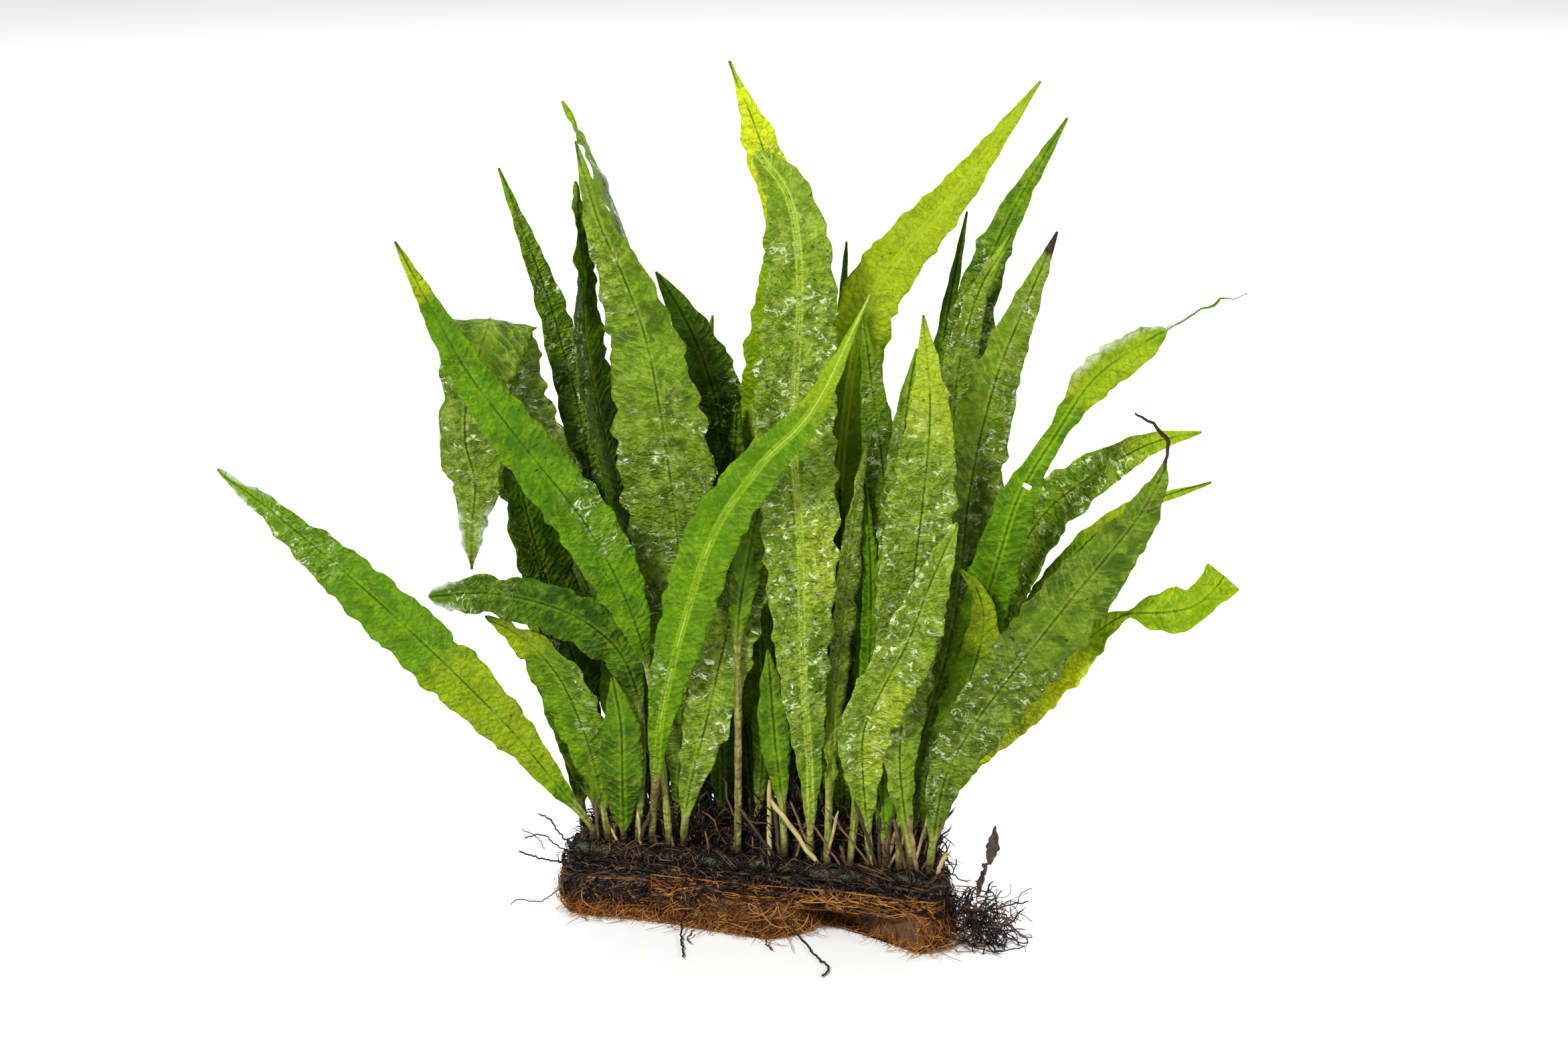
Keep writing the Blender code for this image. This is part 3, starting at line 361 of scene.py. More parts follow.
LOOKS = {
    "frond_left_long": look(1.0, 27.0, 0.14, 0.25, 0.0, 0.3, 0.5, ((0.70, 0.93, 0),), ((0.1, 0.5, 0),),
                            ((0.9, 1.0, 0),), light=0.85, golden=0.35, bulge=(0.68, 1.25, 0.30)),
    "frond_left_bright": look(0.5, 26.0, 0.16, 0.12, 0.0, 0.4, 0.5, ((0.45, 0.6, 1),),
                              ((0.9, 1.0, 0),), rib=-0.7, light=0.85, golden=0.6),
    "frond_left_arched": look(1.4, 16.0, 0.30, 0.1, 0.1, 0.1, 0.1, ((0.80, 0.97, 0),),
                              pale=((0.93, 1.0, 0),)),
    "frond_left_low": look(1.1, 15.0, 0.32, 0.25, 0.0, 0.1, 0.4, ((0.3, 0.7, 1),), ((0.75, 1.0, 0),)),
    "frond_left_wavy": look(1.2, 13.0, 0.3, 0.1, 0.3),
    "frond_left_short": look(0.9, 15.0, 0.3, 0.05, 0.35),
    "frond_left_folded": look(0.7, 17.0, 0.34, 0.05, 0.05, 0.0, 0.3, ((0.3, 0.68, 0), (0.75, 0.98, 0)),
                              pale=((0.92, 1.0, 0),), light=0.9),
    "frond_left_shaded": look(0.8, 20.0, 0.3, 0.05, 0.4, 0.0, 0.2, ((0.3, 0.7, -1),)),
    "frond_left_spire": look(0.9, 17.0, 0.3, 0.1, 0.05, 0.3, 0.6, ((0.5, 0.95, 0),)),
    "frond_left_inner": look(0.8, 20.0, 0.3, 0.05, 0.4, 0.0, 0.2, ((0.4, 0.8, 0),)),
    "frond_glossy_tall": look(0.9, 23.0, 0.42, 0.05, 0.0, 0.1, 0.4, ((0.10, 0.66, 0), (0.74, 0.9, -1)),
                              light=0.9),
    "frond_glossy_partner": look(0.9, 18.0, 0.34, 0.0, 0.4, 0.0, 0.3, ((0.1, 0.45, -1), (0.6, 0.85, -1)),
                                 light=0.85),
    "frond_pale_edge": look(1.1, 15.0, 0.3, 0.3, 0.0, 0.0, 0.1, ((0.72, 0.92, 1),), pale=((0.66, 0.94, 1),),
                            bulge=(0.82, 1.6, 0.10)),
    "frond_dark_broad": look(1.0, 19.0, 0.36, 0.05, 0.2, 0.0, 0.6, ((0.3, 0.85, 0),), ((0.55, 0.7, 1),)),
    "frond_crossing": look(0.7, 26.0, 0.20, 0.25, 0.0, 0.3, 0.4, ((0.1, 0.35, -1),), ((0.78, 1.0, 0),),
                           rib=0.7, bark=0.8, light=0.85),
    "frond_inner_glossy": look(1.2, 14.0, 0.45, 0.05, 0.05, 0.0, 0.5, ((0.15, 0.8, 0),)),
    "frond_inner_shaded": look(0.9, 16.0, 0.3, 0.05, 0.5, 0.0, 0.2),
    "frond_inner_narrow": look(0.9, 14.0, 0.3, 0.1, 0.4, 0.0, 0.2),
    "frond_inner_stalked": look(0.9, 14.0, 0.3, 0.1, 0.3, 0.0, 0.2, bark=0.6),
    "frond_inner_young": look(1.0, 12.0, 0.3, 0.15, 0.2, 0.0, 0.3),
    "frond_front_tall": look(1.0, 20.0, 0.38, 0.15, 0.0, 0.0, 0.9, ((0.1, 0.92, 0),), ((0.35, 0.5, 1),),
                             rib=0.5, light=1.05),
    "frond_front_second": look(0.9, 16.0, 0.3, 0.5, 0.0, 0.0, 0.3, ((0.4, 1.0, 0),), rib=0.3),
    "frond_yellow": look(0.8, 20.0, 0.24, 0.2, 0.0, 0.0, 0.2, ((0.8, 0.9, 1),), ((0.78, 1.0, 0),),
                         golden=1.0, bulge=(0.92, 2.4, 0.06)),
    "frond_upper_right": look(0.8, 22.0, 0.26, 0.15, 0.0, 0.2, 0.3, (), ((0.60, 1.0, 0),), rib=0.4,
                              light=0.85, golden=0.4, bulge=(0.75, 1.2, 0.20)),
    "frond_middle_short": look(0.8, 13.0, 0.32, 0.1, 0.1, 0.0, 0.4, ((0.2, 0.8, 0),)),
    "frond_middle_blade": look(0.5, 16.0, 0.2, 0.1, 0.25),
    "frond_middle_ribbed": look(0.8, 16.0, 0.34, 0.0, 0.45, 0.0, 0.3, ((0.3, 0.7, 1),)),
    "frond_spotted": look(1.0, 18.0, 0.3, 0.2, 0.15, 0.0, 1.0, ((0.5, 0.9, 0),)),
    "frond_right_light": look(1.0, 18.0, 0.36, 0.25, 0.0, 0.1, 0.7, ((0.15, 0.85, 0),), ((0.75, 1.0, 0),)),
    "frond_right_pale": look(1.0, 16.0, 0.3, 0.15, 0.1, 0.0, 0.3, ((0.2, 0.9, 0),)),
    "frond_right_glossy": look(1.1, 15.0, 0.45, 0.25, 0.0, 0.0, 0.2, ((0.2, 0.97, 0),), ((0.2, 0.6, 1),),
                               light=1.1),
    "frond_right_grey": look(0.8, 20.0, 0.3, 0.1, 0.0, 0.0, 0.3, ((0.3, 0.6, 1), (0.6, 0.95, 0)),
                             light=1.15),
    "frond_right_browntip": look(1.0, 16.0, 0.32, 0.15, 0.0, 0.9, 0.3, ((0.3, 0.97, 1),), light=0.9),
    "frond_right_spire": look(1.0, 17.0, 0.3, 0.1, 0.0, 0.1, 0.3, ((0.5, 0.85, 0),)),
    "frond_right_curved": look(0.8, 16.0, 0.3, 0.2, 0.0, 0.0, 0.2, ((0.2, 0.5, 0),), ((0.7, 1.0, 0),)),
    "frond_right_threaded": look(0.8, 22.0, 0.2, 0.15, 0.0, 0.0, 0.2, (), ((0.70, 0.88, 0),),
                                 ((0.74, 0.92, -1),), 0.1, ((0.58, 0.9),), light=0.9, golden=0.4,
                                 bulge=(0.955, 2.2, 0.012)),
    "frond_right_slant": look(1.0, 18.0, 0.32, 0.3, 0.0, 0.1, 0.6, ((0.35, 0.95, 0),), ((0.85, 1.0, 0),),
                              light=1.15),
    "frond_right_broad": look(0.9, 18.0, 0.38, 0.05, 0.0, 0.9, 0.6, ((0.1, 0.5, 0),), light=0.75,
                              bulge=(0.96, 2.6, 0.05)),
    "frond_right_twisted": look(1.0, 18.0, 0.26, 0.2, 0.0, 0.0, 0.4, ((0.3, 0.5, 0),), ((0.2, 0.7, 0),),
                                light=0.98, golden=0.8),
    "frond_right_tip": look(0.5, 18.0, 0.2, 0.25, 0.0, 0.1, 0.1, (), ((0.7, 1.0, 0),)),
}

# Leaf colours for each tint, as linear RGB: the pale parts, the body, the depths and the painted sheen,
# whose colour also goes on pale vein lines in places.
Leaf = namedtuple("Leaf", "young body deep veil")
LEAVES = {
    "bright": Leaf((0.22, 0.39, 0.002), (0.110, 0.260, 0.001), (0.042, 0.130, 0.001), (0.27, 0.40, 0.04)),
    "mid": Leaf((0.22, 0.36, 0.005), (0.090, 0.205, 0.002), (0.030, 0.085, 0.001), (0.29, 0.38, 0.05)),
    "grey": Leaf((0.30, 0.43, 0.030), (0.145, 0.255, 0.007), (0.050, 0.110, 0.002), (0.38, 0.47, 0.08)),
    "dark": Leaf((0.15, 0.28, 0.004), (0.052, 0.130, 0.001), (0.016, 0.052, 0.001), (0.23, 0.32, 0.03)),
    "yellow": Leaf((0.36, 0.49, 0.003), (0.210, 0.345, 0.002), (0.085, 0.190, 0.001), (0.44, 0.53, 0.06)),
}
GOLD = (0.60, 0.64, 0.012)
SHEEN = (0.72, 0.82, 0.48)
DEAD = (0.050, 0.022, 0.010)
PALE_RIB = (0.50, 0.56, 0.14)
PALE_MARGIN = (0.50, 0.55, 0.40)
SPECK = (0.018, 0.020, 0.006)
STALK_DARK = (0.11, 0.15, 0.015)
STALK_PALE = (0.33, 0.35, 0.08)
STALK_BARK = (0.15, 0.085, 0.035)
STALK_FOOT = (0.040, 0.022, 0.010)
LEAF_IOR = 1.45
LEAF_SPECULAR = 0.11
THROUGH_SHARE = 0.24

# Root and fibre colours, dark to light, as linear RGB.
COIR_CORE = ((0.05, 0.020, 0.007), (0.14, 0.055, 0.015), (0.34, 0.155, 0.045))
COIR_FIBRE = ((0.040, 0.013, 0.004), (0.235, 0.083, 0.014), (0.52, 0.245, 0.060))
ROOT_STRAND = ((0.0025, 0.0015, 0.0012), (0.010, 0.0055, 0.0035), (0.15, 0.072, 0.036))
ROOT_BED = ((0.003, 0.002, 0.0015), (0.009, 0.0055, 0.004), (0.03, 0.017, 0.009))
DEAD_STALK = ((0.020, 0.010, 0.005), (0.11, 0.058, 0.022), (0.40, 0.34, 0.12))
RHIZOME_BARK = ((0.012, 0.010, 0.004), (0.030, 0.034, 0.009), (0.09, 0.095, 0.025))
WITHERED_LEAF = ((0.008, 0.005, 0.004), (0.030, 0.015, 0.011), (0.17, 0.09, 0.06))

# A seed for each random part of the mat and the roots.
COIR_SEED = 901
ROOTS_SEED = 902
RHIZOME_SEED = 903
SIDE_SEED = 904
STRAY_SEED = 905
BED_SEED = 906
RHIZOME_ROOTS_SEED = 907
THICKET_SEED = 908
FRINGE_SEED = 910
COIR_FRONT_SEED = 911

# The strands of each piece: how many, the points along each, the ranges of their radii and of the
# steps between their points, in mm, and how strongly they bend. A piece without steps has its lines
# worked out in another way.
Strands = namedtuple("Strands", "count points radii steps bend", defaults=(None, None))
STRANDS = {
    "coir_wound": Strands(900, 9, (0.07, 0.20), (0.8, 2.2), 0.35),
    "coir_tangled": Strands(1400, 8, (0.07, 0.20), (0.8, 2.2), 0.35),
    "coir_under": Strands(420, 9, (0.09, 0.20), (1.5, 3.6), 0.22),
    "coir_over": Strands(450, 9, (0.09, 0.20), (1.5, 3.6), 0.22),
    "coir_loose": Strands(620, 9, (0.06, 0.13), (0.3, 1.2), 0.34),
    "coir_front": Strands(430, 8, (0.08, 0.20), (0.8, 2.2), 0.35),
    "root_felt": Strands(1750, 8, (0.14, 0.38), (0.9, 2.5), 0.60),
    "root_loops": Strands(850, 9, (0.10, 0.30), (0.7, 1.9), 0.60),
    "root_thicket": Strands(1300, 10, (0.12, 0.34), (0.7, 2.3), 0.33),
    "root_fringe": Strands(860, 8, (0.12, 0.32)),
    "root_lip": Strands(1100, 8, (0.14, 0.36), (0.6, 1.6), 0.50),
    "dead_stalks": Strands(110, 9, (0.35, 0.85)),
    "rhizome_roots": Strands(1100, 8, (0.10, 0.28)),
    "side_root_tuft": Strands(210, 13, (0.10, 0.28), (0.6, 1.7), 0.40),
    "stray_roots": Strands(11, 26, (0.16, 0.30)),
}
# A strand's ends have this share of its radius.
STRAND_END = 0.35
STRAND_SIDES = 3
STALK_SIDES = 6
STEM_SIDES = 14

# Where strands hang on the mat's rim, as (from, to, how many): shares of the way round it, from its left
# end along its front.
LOOSE_TURNS = ((0.0, 1.0, 120), (0.0, 0.46, 500))
FRINGE_TURNS = ((0.0, 1.0, 260), (0.0, 0.13, 400), (0.40, 0.50, 200))

# The single long roots past the mat: at its left end, in front of it and at its right end.
STRAY_ROUTES = (
    ((-52, 2, 17), (-58, 0, 20), (-63, -1, 24), (-68, -2, 23)),
    ((-50, 0, 18), (-56, -2, 23), (-60, -3, 29), (-64, -3, 31)),
    ((-55, 2, 14), (-62, 0, 16), (-70, -2, 19)),
    ((-62, -1, 19), (-64, -1, 23), (-69, -2, 26)),
    ((-55, 0, 9), (-63, -3, 4), (-70, -5, 5), (-72, -5, 3)),
    ((-14, -20, 6), (-17, -24, 2), (-19, -30, 0.5), (-18, -34, 0.5)),
    ((10, -27, 5), (15, -33, 1), (18, -44, 0.5), (22, -58, 0.5), (20, -66, 0.5)),
    ((-20, -16, 5), (-21, -26, 1), (-20, -42, 0.5), (-20, -48, 0.5)),
    ((50, -40, 8), (60, -42, 4), (70, -44, 1), (80, -41, 2)),
    ((56, -30, 12), (66, -33, 10), (76, -33, 12), (81, -33, 13)),
    ((8, -27, 6), (4, -33, 1.5), (6, -41, 0.5)),
)

OUTLINE_POINTS = 240
RIM_POINTS = 220
# The coir core's underside lies this far above the mat's.
CORE_INSET = 0.35

# The soft lamps: name, place in metres, diameter and power.
LAMP_AIM = (0.0, 0.0, 0.12)
LAMPS = (
    ("lamp_back", (0.2, 1.1, 1.7), 1.2, 55.0),
    ("lamp_left", (-0.75, -1.45, 1.25), 0.34, 46.0),
    ("lamp_right", (0.9, -1.4, 0.6), 0.26, 10.0),
)
FLOOR_SIZE = 16.0
FLOOR_DROP = 0.0002
ROOM_STRENGTH = 0.30


def drawn_point(across, up, depth):
    """The point at y = depth that the front drawing shows at (across, up)."""
    on_plane = np.array((across, 0.0, 0.0)) + up * VIEW_UP
    share = (depth - EYE[1]) / (on_plane[1] - EYE[1])
    return EYE + share * (on_plane - EYE)


def rhizome_point(row, across):
    """A point on the middle line of a rhizome."""
    shape = ROWS[row]
    wave = ROW_WAVE_HEIGHT * math.sin(across / ROW_WAVE_LENGTH * math.tau + shape.wave)
    height = MAT_THICKNESS + 2 * GAP + ROOTS_BED + RHIZOME_RADIUS
    return np.array((across, shape.depth - shape.slant * across + wave, height))


def smooth_curve(points, count, closed=False):
    """Points evenly spaced along a Catmull-Rom curve through the given ones, and the curve's length."""
    points = [np.asarray(p, float) for p in points]
    if closed:
        points = [points[-1], *points, points[0], points[1]]
    else:
        points = [2 * points[0] - points[1], *points, 2 * points[-1] - points[-2]]
    fine = []
    for before, start, end, after in zip(points, points[1:], points[2:], points[3:]):
        for t in np.arange(CURVE_STEPS) / CURVE_STEPS:
            fine.append(0.5 * (2 * start + (end - before) * t
                               + (2 * before - 5 * start + 4 * end - after) * t * t
                               + (3 * start - before - 3 * end + after) * t ** 3))
    fine.append(points[-2])
    fine = np.array(fine)
    length = np.concatenate(((0.0,), np.cumsum(np.linalg.norm(np.diff(fine, axis=0), axis=1))))
    wanted = np.linspace(0.0, length[-1], count + 1 if closed else count)
    if closed:
        wanted = wanted[:-1]
    return np.stack([np.interp(wanted, length, axis) for axis in fine.T], axis=1), length[-1]


def unit(vectors):
    return vectors / np.maximum(np.linalg.norm(vectors, axis=-1, keepdims=True), 1e-9)


def smooth_step(values, low, high):
    t = np.clip((values - low) / (high - low), 0.0, 1.0)
    return t * t * (3.0 - 2.0 * t)


def ripple(along, length, rng):
    """A smooth uneven wave of about the given length, between about -1 and 1."""
    total = np.zeros_like(along)
    for factor, height in ((1.0, 0.6), (1.37, 0.4), (2.3, 0.22)):
        total += height * np.sin(math.tau * along * factor / length + rng.uniform(0, math.tau))
    return total


def carried_frames(line, turn):
    """The directions across and out of a piece at each point of its line, carried on from its start."""
    out = FORWARD
    sides, outs = [], []
    tangents = unit(np.gradient(line, axis=0))
    for tangent, degrees in zip(tangents, np.linspace(*turn, len(line))):
        out = unit(out - out.dot(tangent) * tangent)
        side = np.cross(tangent, out)
        cos, sin = math.cos(math.radians(degrees)), math.sin(math.radians(degrees))
        sides.append(side * cos + out * sin)
        outs.append(out * cos - side * sin)
    return np.array(sides), np.array(outs)


def eased(values, knots):
    """Smooth steps between (place, value) knots."""
    total = np.full_like(values, knots[0][1])
    for (start, low), (end, high) in zip(knots, knots[1:]):
        total += (high - low) * smooth_step(values, start, end)
    return total


def half_widths(spec, share):
    """Half the frond's width at shares of its length: stalk, blade with one widest place, tail."""
    blade_end = 1.0 - spec.tail
    s = np.clip((share - spec.stalk) / (blade_end - spec.stalk), 0.0, 1.0)
    if spec.shape:
        swell = eased(s, spec.shape)
    else:
        rise = np.sin(math.pi / 2 * np.minimum(1.0, s / spec.widest)) ** spec.foot
        past = np.clip((s - spec.widest) / (1.0 - spec.widest), 0.0, 1.0)
        swell = np.where(s < spec.widest, rise, np.cos(math.pi / 2 * past) ** spec.taper)
    tip = TAIL_HALF_WIDTH if spec.tail else TIP_HALF_WIDTH
    narrow = STALK_RADIUS + (tip - STALK_RADIUS) * s
    half = narrow + (spec.width / 2 - narrow) * swell
    if spec.tail:
        half = np.where(share > blade_end, half * (1.0 - 0.6 * smooth_step(share, blade_end, 1.0)), half)
    return half


# How a mesh attribute with one, three or four columns is kept.
FIELDS = {1: ("FLOAT", "value"), 3: ("FLOAT_VECTOR", "vector"), 4: ("FLOAT_COLOR", "color")}


def new_piece(name, corners, faces, material, replaced=(), attributes=None):
    """A mesh piece that rides on the root, its corners given in millimetres.

    attributes gives values for each corner: name to an array with 1, 3 or 4 columns.
    """
    mesh = bpy.data.meshes.new(name)
    mesh.from_pydata((np.asarray(corners) * MM).tolist(), [], faces)
    for key, values in (attributes or {}).items():
        columns = 1 if values.ndim == 1 else values.shape[1]
        kind, field = FIELDS[columns]
        layer = mesh.attributes.new(key, kind, "POINT")
        layer.data.foreach_set(field, values.astype(np.float32).ravel())
    mesh.shade_smooth()
    mesh.materials.append(material)
    piece = bpy.data.objects.new(name, mesh)
    bpy.context.scene.collection.objects.link(piece)
    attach(piece, "root")
    if replaced:
        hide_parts(*replaced)


def raised(xy, height):
    """Points seen from above, with their heights."""
    return np.concatenate((xy, height[..., None]), axis=-1)


def two_sides(front, back):
    """The corners of a thin body: its front grid, then its back grid."""
    return np.concatenate((front.reshape(-1, 3), back.reshape(-1, 3)))


def strap_surface(line, frames, x, z):
    """A strap's grid of points, x across its line and z out of it, and the directions out of the grid."""
    side, out = frames
    surface = line[:, None, :] + x[..., None] * side[:, None, :] + z[..., None] * out[:, None, :]
    return surface, unit(np.cross(np.gradient(surface, axis=1), np.gradient(surface, axis=0)))


def grid_faces(rows, columns):
    """Quads of a grid of corners, row by row."""
    index = np.arange(rows * columns).reshape(rows, columns)
    return np.stack((index[:-1, :-1], index[:-1, 1:], index[1:, 1:], index[1:, :-1]), axis=-1).reshape(-1, 4)


def shell_faces(rows, columns, kept=None):
    """Quads of a closed thin body: a front grid, a back grid after it, and the rims between them.

    kept says which of the front grid's quads are there, where the body has holes.
    """
    count = rows * columns
    front = grid_faces(rows, columns)
    if kept is not None:
        front = front[kept]
    edges = np.stack((front, np.roll(front, -1, axis=1)), axis=-1).reshape(-1, 2)
    keys = edges[:, 0] * count + edges[:, 1]
    turned = edges[:, 1] * count + edges[:, 0]
    rim = edges[~np.isin(keys, turned)]
    sides = np.stack((rim[:, 0], rim[:, 0] + count, rim[:, 1] + count, rim[:, 1]), axis=-1)
    return np.concatenate((front, front[:, ::-1] + count, sides))


def ring_faces(rows, columns):
    """Faces of a closed body through rings of corners, with a cap at each end."""
    index = np.arange(rows * columns).reshape(rows, columns)
    after = np.roll(index, -1, axis=1)
    walls = np.stack((index[:-1], after[:-1], after[1:], index[1:]), axis=-1).reshape(-1, 4)
    return walls.tolist() + [index[0, ::-1].tolist(), index[-1].tolist()]


def tubes(lines, radii, sides):
    """Corners and faces of closed tubes along lines of equal point counts: (tubes, points, 3)."""
    count, steps = lines.shape[:2]
    tangents = unit(np.gradient(lines, axis=1))
    helper = np.where(np.abs(tangents[..., 2:3]) > 0.8, (1.0, 0.0, 0.0), (0.0, 0.0, 1.0))
    first = unit(np.cross(tangents, helper))
    second = np.cross(tangents, first)
    turns = np.arange(sides) * math.tau / sides
    ring = np.cos(turns)[:, None] * first[:, :, None, :] + np.sin(turns)[:, None] * second[:, :, None, :]
    corners = lines[:, :, None, :] + radii[:, :, None, None] * ring
    index = np.arange(count * steps * sides).reshape(count, steps, sides)
    after = np.roll(index, -1, axis=2)
    walls = np.stack((index[:, :-1], index[:, 1:], after[:, 1:], after[:, :-1]), axis=-1).reshape(-1, 4)
    faces = walls.tolist() + index[:, 0].tolist() + index[:, -1, ::-1].tolist()
    return corners.reshape(-1, 3), faces


def stretches(marks, share, t):
    """How much each grid point lies in the marked stretches, (from, to, side)."""
    total = np.zeros_like(share)
    for start, end, side in marks:
        middle, reach = (start + end) / 2, (end - start) / 2
        along = 1.0 - smooth_step(np.abs(share - middle), 0.6 * reach, 1.15 * reach)
        across = smooth_step(t * side, -0.35, 0.15) if side else np.ones_like(t)
        total = np.maximum(total, along * across)
    return total


def frond_attributes(spec, seen, seed, share, t, x, along, flat):
    """What a frond's material reads at each of its grid points."""
    tip = smooth_step(share, 0.72, 1.0)
    blade_end = 1.0 - spec.tail
    yellow = seen.yellow + 0.2 * tip + 0.12 * np.abs(t) ** 4
    shade = seen.shade + 0.3 * (1.0 - smooth_step(share, 0.0, 0.35))
    browned = (blade_end - 0.01, blade_end + 0.02) if spec.tail else (0.93, 0.995)
    brown = seen.brown * smooth_step(share, *browned)
    beside = np.maximum(smooth_step(np.abs(t), 0.45, 0.95), 1.0 * (share > blade_end))
    pale = stretches(seen.pale, share, t) * beside
    low = 1.0 - smooth_step(share, spec.stalk + 0.10, spec.stalk + 0.30)
    values = {
        "place": (x, along, PATTERN_SPACING * seed),
        "tone": (yellow, shade, stretches(seen.glints, share, t), brown),
        "marks": (seen.spots, pale, seen.rib, stretches(seen.gold, share, t)),
        "growth": ((1.0 - flat) * low, seen.bark, seen.golden, seen.light),
    }
    grids = {key: np.stack([np.broadcast_to(part, x.shape) for part in parts], axis=-1)
             for key, parts in values.items()}
    return {key: np.tile(grid.reshape(-1, grid.shape[-1]), (2, 1)) for key, grid in grids.items()}


def frond_line(spec):
    """A frond's midrib as evenly spaced points, and its length."""
    foot = rhizome_point(spec.row, spec.at) + (0.0, 0.0, RHIZOME_RADIUS + GAP)
    route = [foot, foot + (0.0, 0.0, STEP_OFF), *(drawn_point(*p) for p in spec.path)]
    length = smooth_curve(route, 2)[1]
    rows = round(length / STATION_SPACING) + 1
    return smooth_curve(route, rows)[0], length


def uneven_strap(spec, seen, rng, line, share, along):
    """The midrib and half widths with their unevenness: a slim kinked tail, a swelling."""
    half = half_widths(spec, share) * (1.0 + 0.08 * ripple(along, 11.0, rng))
    if spec.tail:
        thread = smooth_step(share, 1.0 - spec.tail, 1.02 - spec.tail)
        half = half * (1.0 - (1.0 - TAIL_SLIMNESS) * thread)
        kinks = np.stack([ripple(along, 8.0, rng) for _ in range(3)], axis=-1)
        line = line + TAIL_KINKS * thread[:, None] * kinks
    if seen.bulge:
        place, factor, reach = seen.bulge
        half = half * (1.0 + (factor - 1.0) * np.exp(-((share - place) / reach) ** 2))
    return line, half


def columns_across(spec):
    """Where the blade's columns lie across it, from -1 to 1."""
    columns = 2 * round(spec.width / (2 * MM_PER_COLUMN)) + 1
    columns = min(MOST_COLUMNS, max(FEWEST_COLUMNS, columns))
    even = np.linspace(-1.0, 1.0, columns)
    return np.sign(even) * np.abs(even) ** 1.1


def by_side(t, left, right):
    """Grid values that differ between the blade's two sides."""
    return np.where(t[None, :] < 0, left[:, None], right[:, None])


def margins(seen, rng, share, along, flat, t):
    """How far out the waved and crimped margins reach, as a factor at each grid point."""
    edges = []
    for margin in (-1.0, 1.0):
        wide, tight = ripple(along, 0.8 * seen.length, rng), ripple(along, CRIMP_LENGTH, rng)
        ragged = 0.022 + 0.09 * stretches(seen.pale, share, np.full_like(share, margin))
        edges.append(1.0 + flat * (0.05 * seen.wave * wide + ragged * tight))
    return by_side(t, *edges)


def relief(spec, seen, rng, along, t, x):
    """How far the blade stands out of its strap: its cup, waves, crimps, pillows and roll."""
    lift = np.abs(x) * math.tan(math.radians(spec.cup))
    waves = by_side(t, ripple(along, seen.length, rng), ripple(along, seen.length, rng))
    crimps = by_side(t, ripple(along, CRIMP_LENGTH, rng), ripple(along, CRIMP_LENGTH, rng))
    reach = np.abs(t[None, :])
    vein = along[:, None] - VEIN_SLANT * np.abs(x) + 1.2 * ripple(along, 31.0, rng)[:, None]
    cross = 0.7 + 0.3 * np.sin(math.tau * np.abs(x) / 4.6 + 2.0 * ripple(along, 23.0, rng)[:, None])
    swell = cross * np.sin(math.tau * vein / VEIN_SPACING) * np.clip(4.0 * reach * (1.05 - reach), 0.0, 1.0)
    roll = 0.07 * ripple(along, 70.0, rng)[:, None] * x
    return (lift + seen.wave * reach ** 1.6 * waves + 0.35 * reach ** 5 * crimps + seen.pillow * swell
            + roll)


def thickened(surface, normal, share, t, x, half, flat):
    """The frond's front and back corners: a thin sheet with a rib, or a round stalk where it isn't flat."""
    slim = np.minimum(1.0, half / STALK_RADIUS)[:, None]
    round_part = STALK_RADIUS * np.sqrt(1.0 - 0.96 * t[None, :] ** 2)
    fade = (1.0 - share[:, None]) ** 0.6
    rib = RIB_HEIGHT * fade * np.exp(-(x / RIB_WIDTH) ** 2)
    sheet = BLADE_HALF_THICKNESS * (1.0 - 0.5 * t[None, :] ** 4)
    depth = slim * (flat[:, None] * sheet + (1.0 - flat[:, None]) * round_part)
    front = surface + (depth + 0.5 * flat[:, None] * rib)[..., None] * normal
    back = surface - (depth + flat[:, None] * rib)[..., None] * normal
    return two_sides(front, back)


def outside_holes(holes, x, along, length):
    """Which of the grid's cells are kept around the holes, or None where there are no holes."""
    if not holes:
        return None
    centres = [0.25 * (g[:-1, :-1] + g[:-1, 1:] + g[1:, 1:] + g[1:, :-1]).ravel() for g in (x, along)]
    far = [np.hypot(centres[0] - across, centres[1] - place * length) for place, across in holes]
    return np.min(far, axis=0) > HOLE_RADIUS


def frond_shape(spec, seen, seed):
    """A frond's fine closed mesh: corners, faces and the attributes that its material reads."""
    rng = np.random.default_rng(seed)
    line, length = frond_line(spec)
    frames = carried_frames(line, spec.turn)
    share = np.linspace(0.0, 1.0, len(line))
    along = share * length
    line, half = uneven_strap(spec, seen, rng, line, share, along)
    flat = np.clip(half / STALK_RADIUS - 1.0, 0.0, 1.0)
    t = columns_across(spec)
    x = half[:, None] * t[None, :] * margins(seen, rng, share, along, flat, t)
    z = flat[:, None] * relief(spec, seen, rng, along, t, x)
    corners = thickened(*strap_surface(line, frames, x, z), share, t, x, half, flat)

    grid = np.broadcast_arrays(share[:, None], t[None, :], x, along[:, None])
    attributes = frond_attributes(spec, seen, seed, *grid, np.broadcast_to(flat[:, None], x.shape))
    kept = outside_holes(seen.holes, *grid[2:], length)
    return corners, shell_faces(len(share), len(t), kept).tolist(), attributes


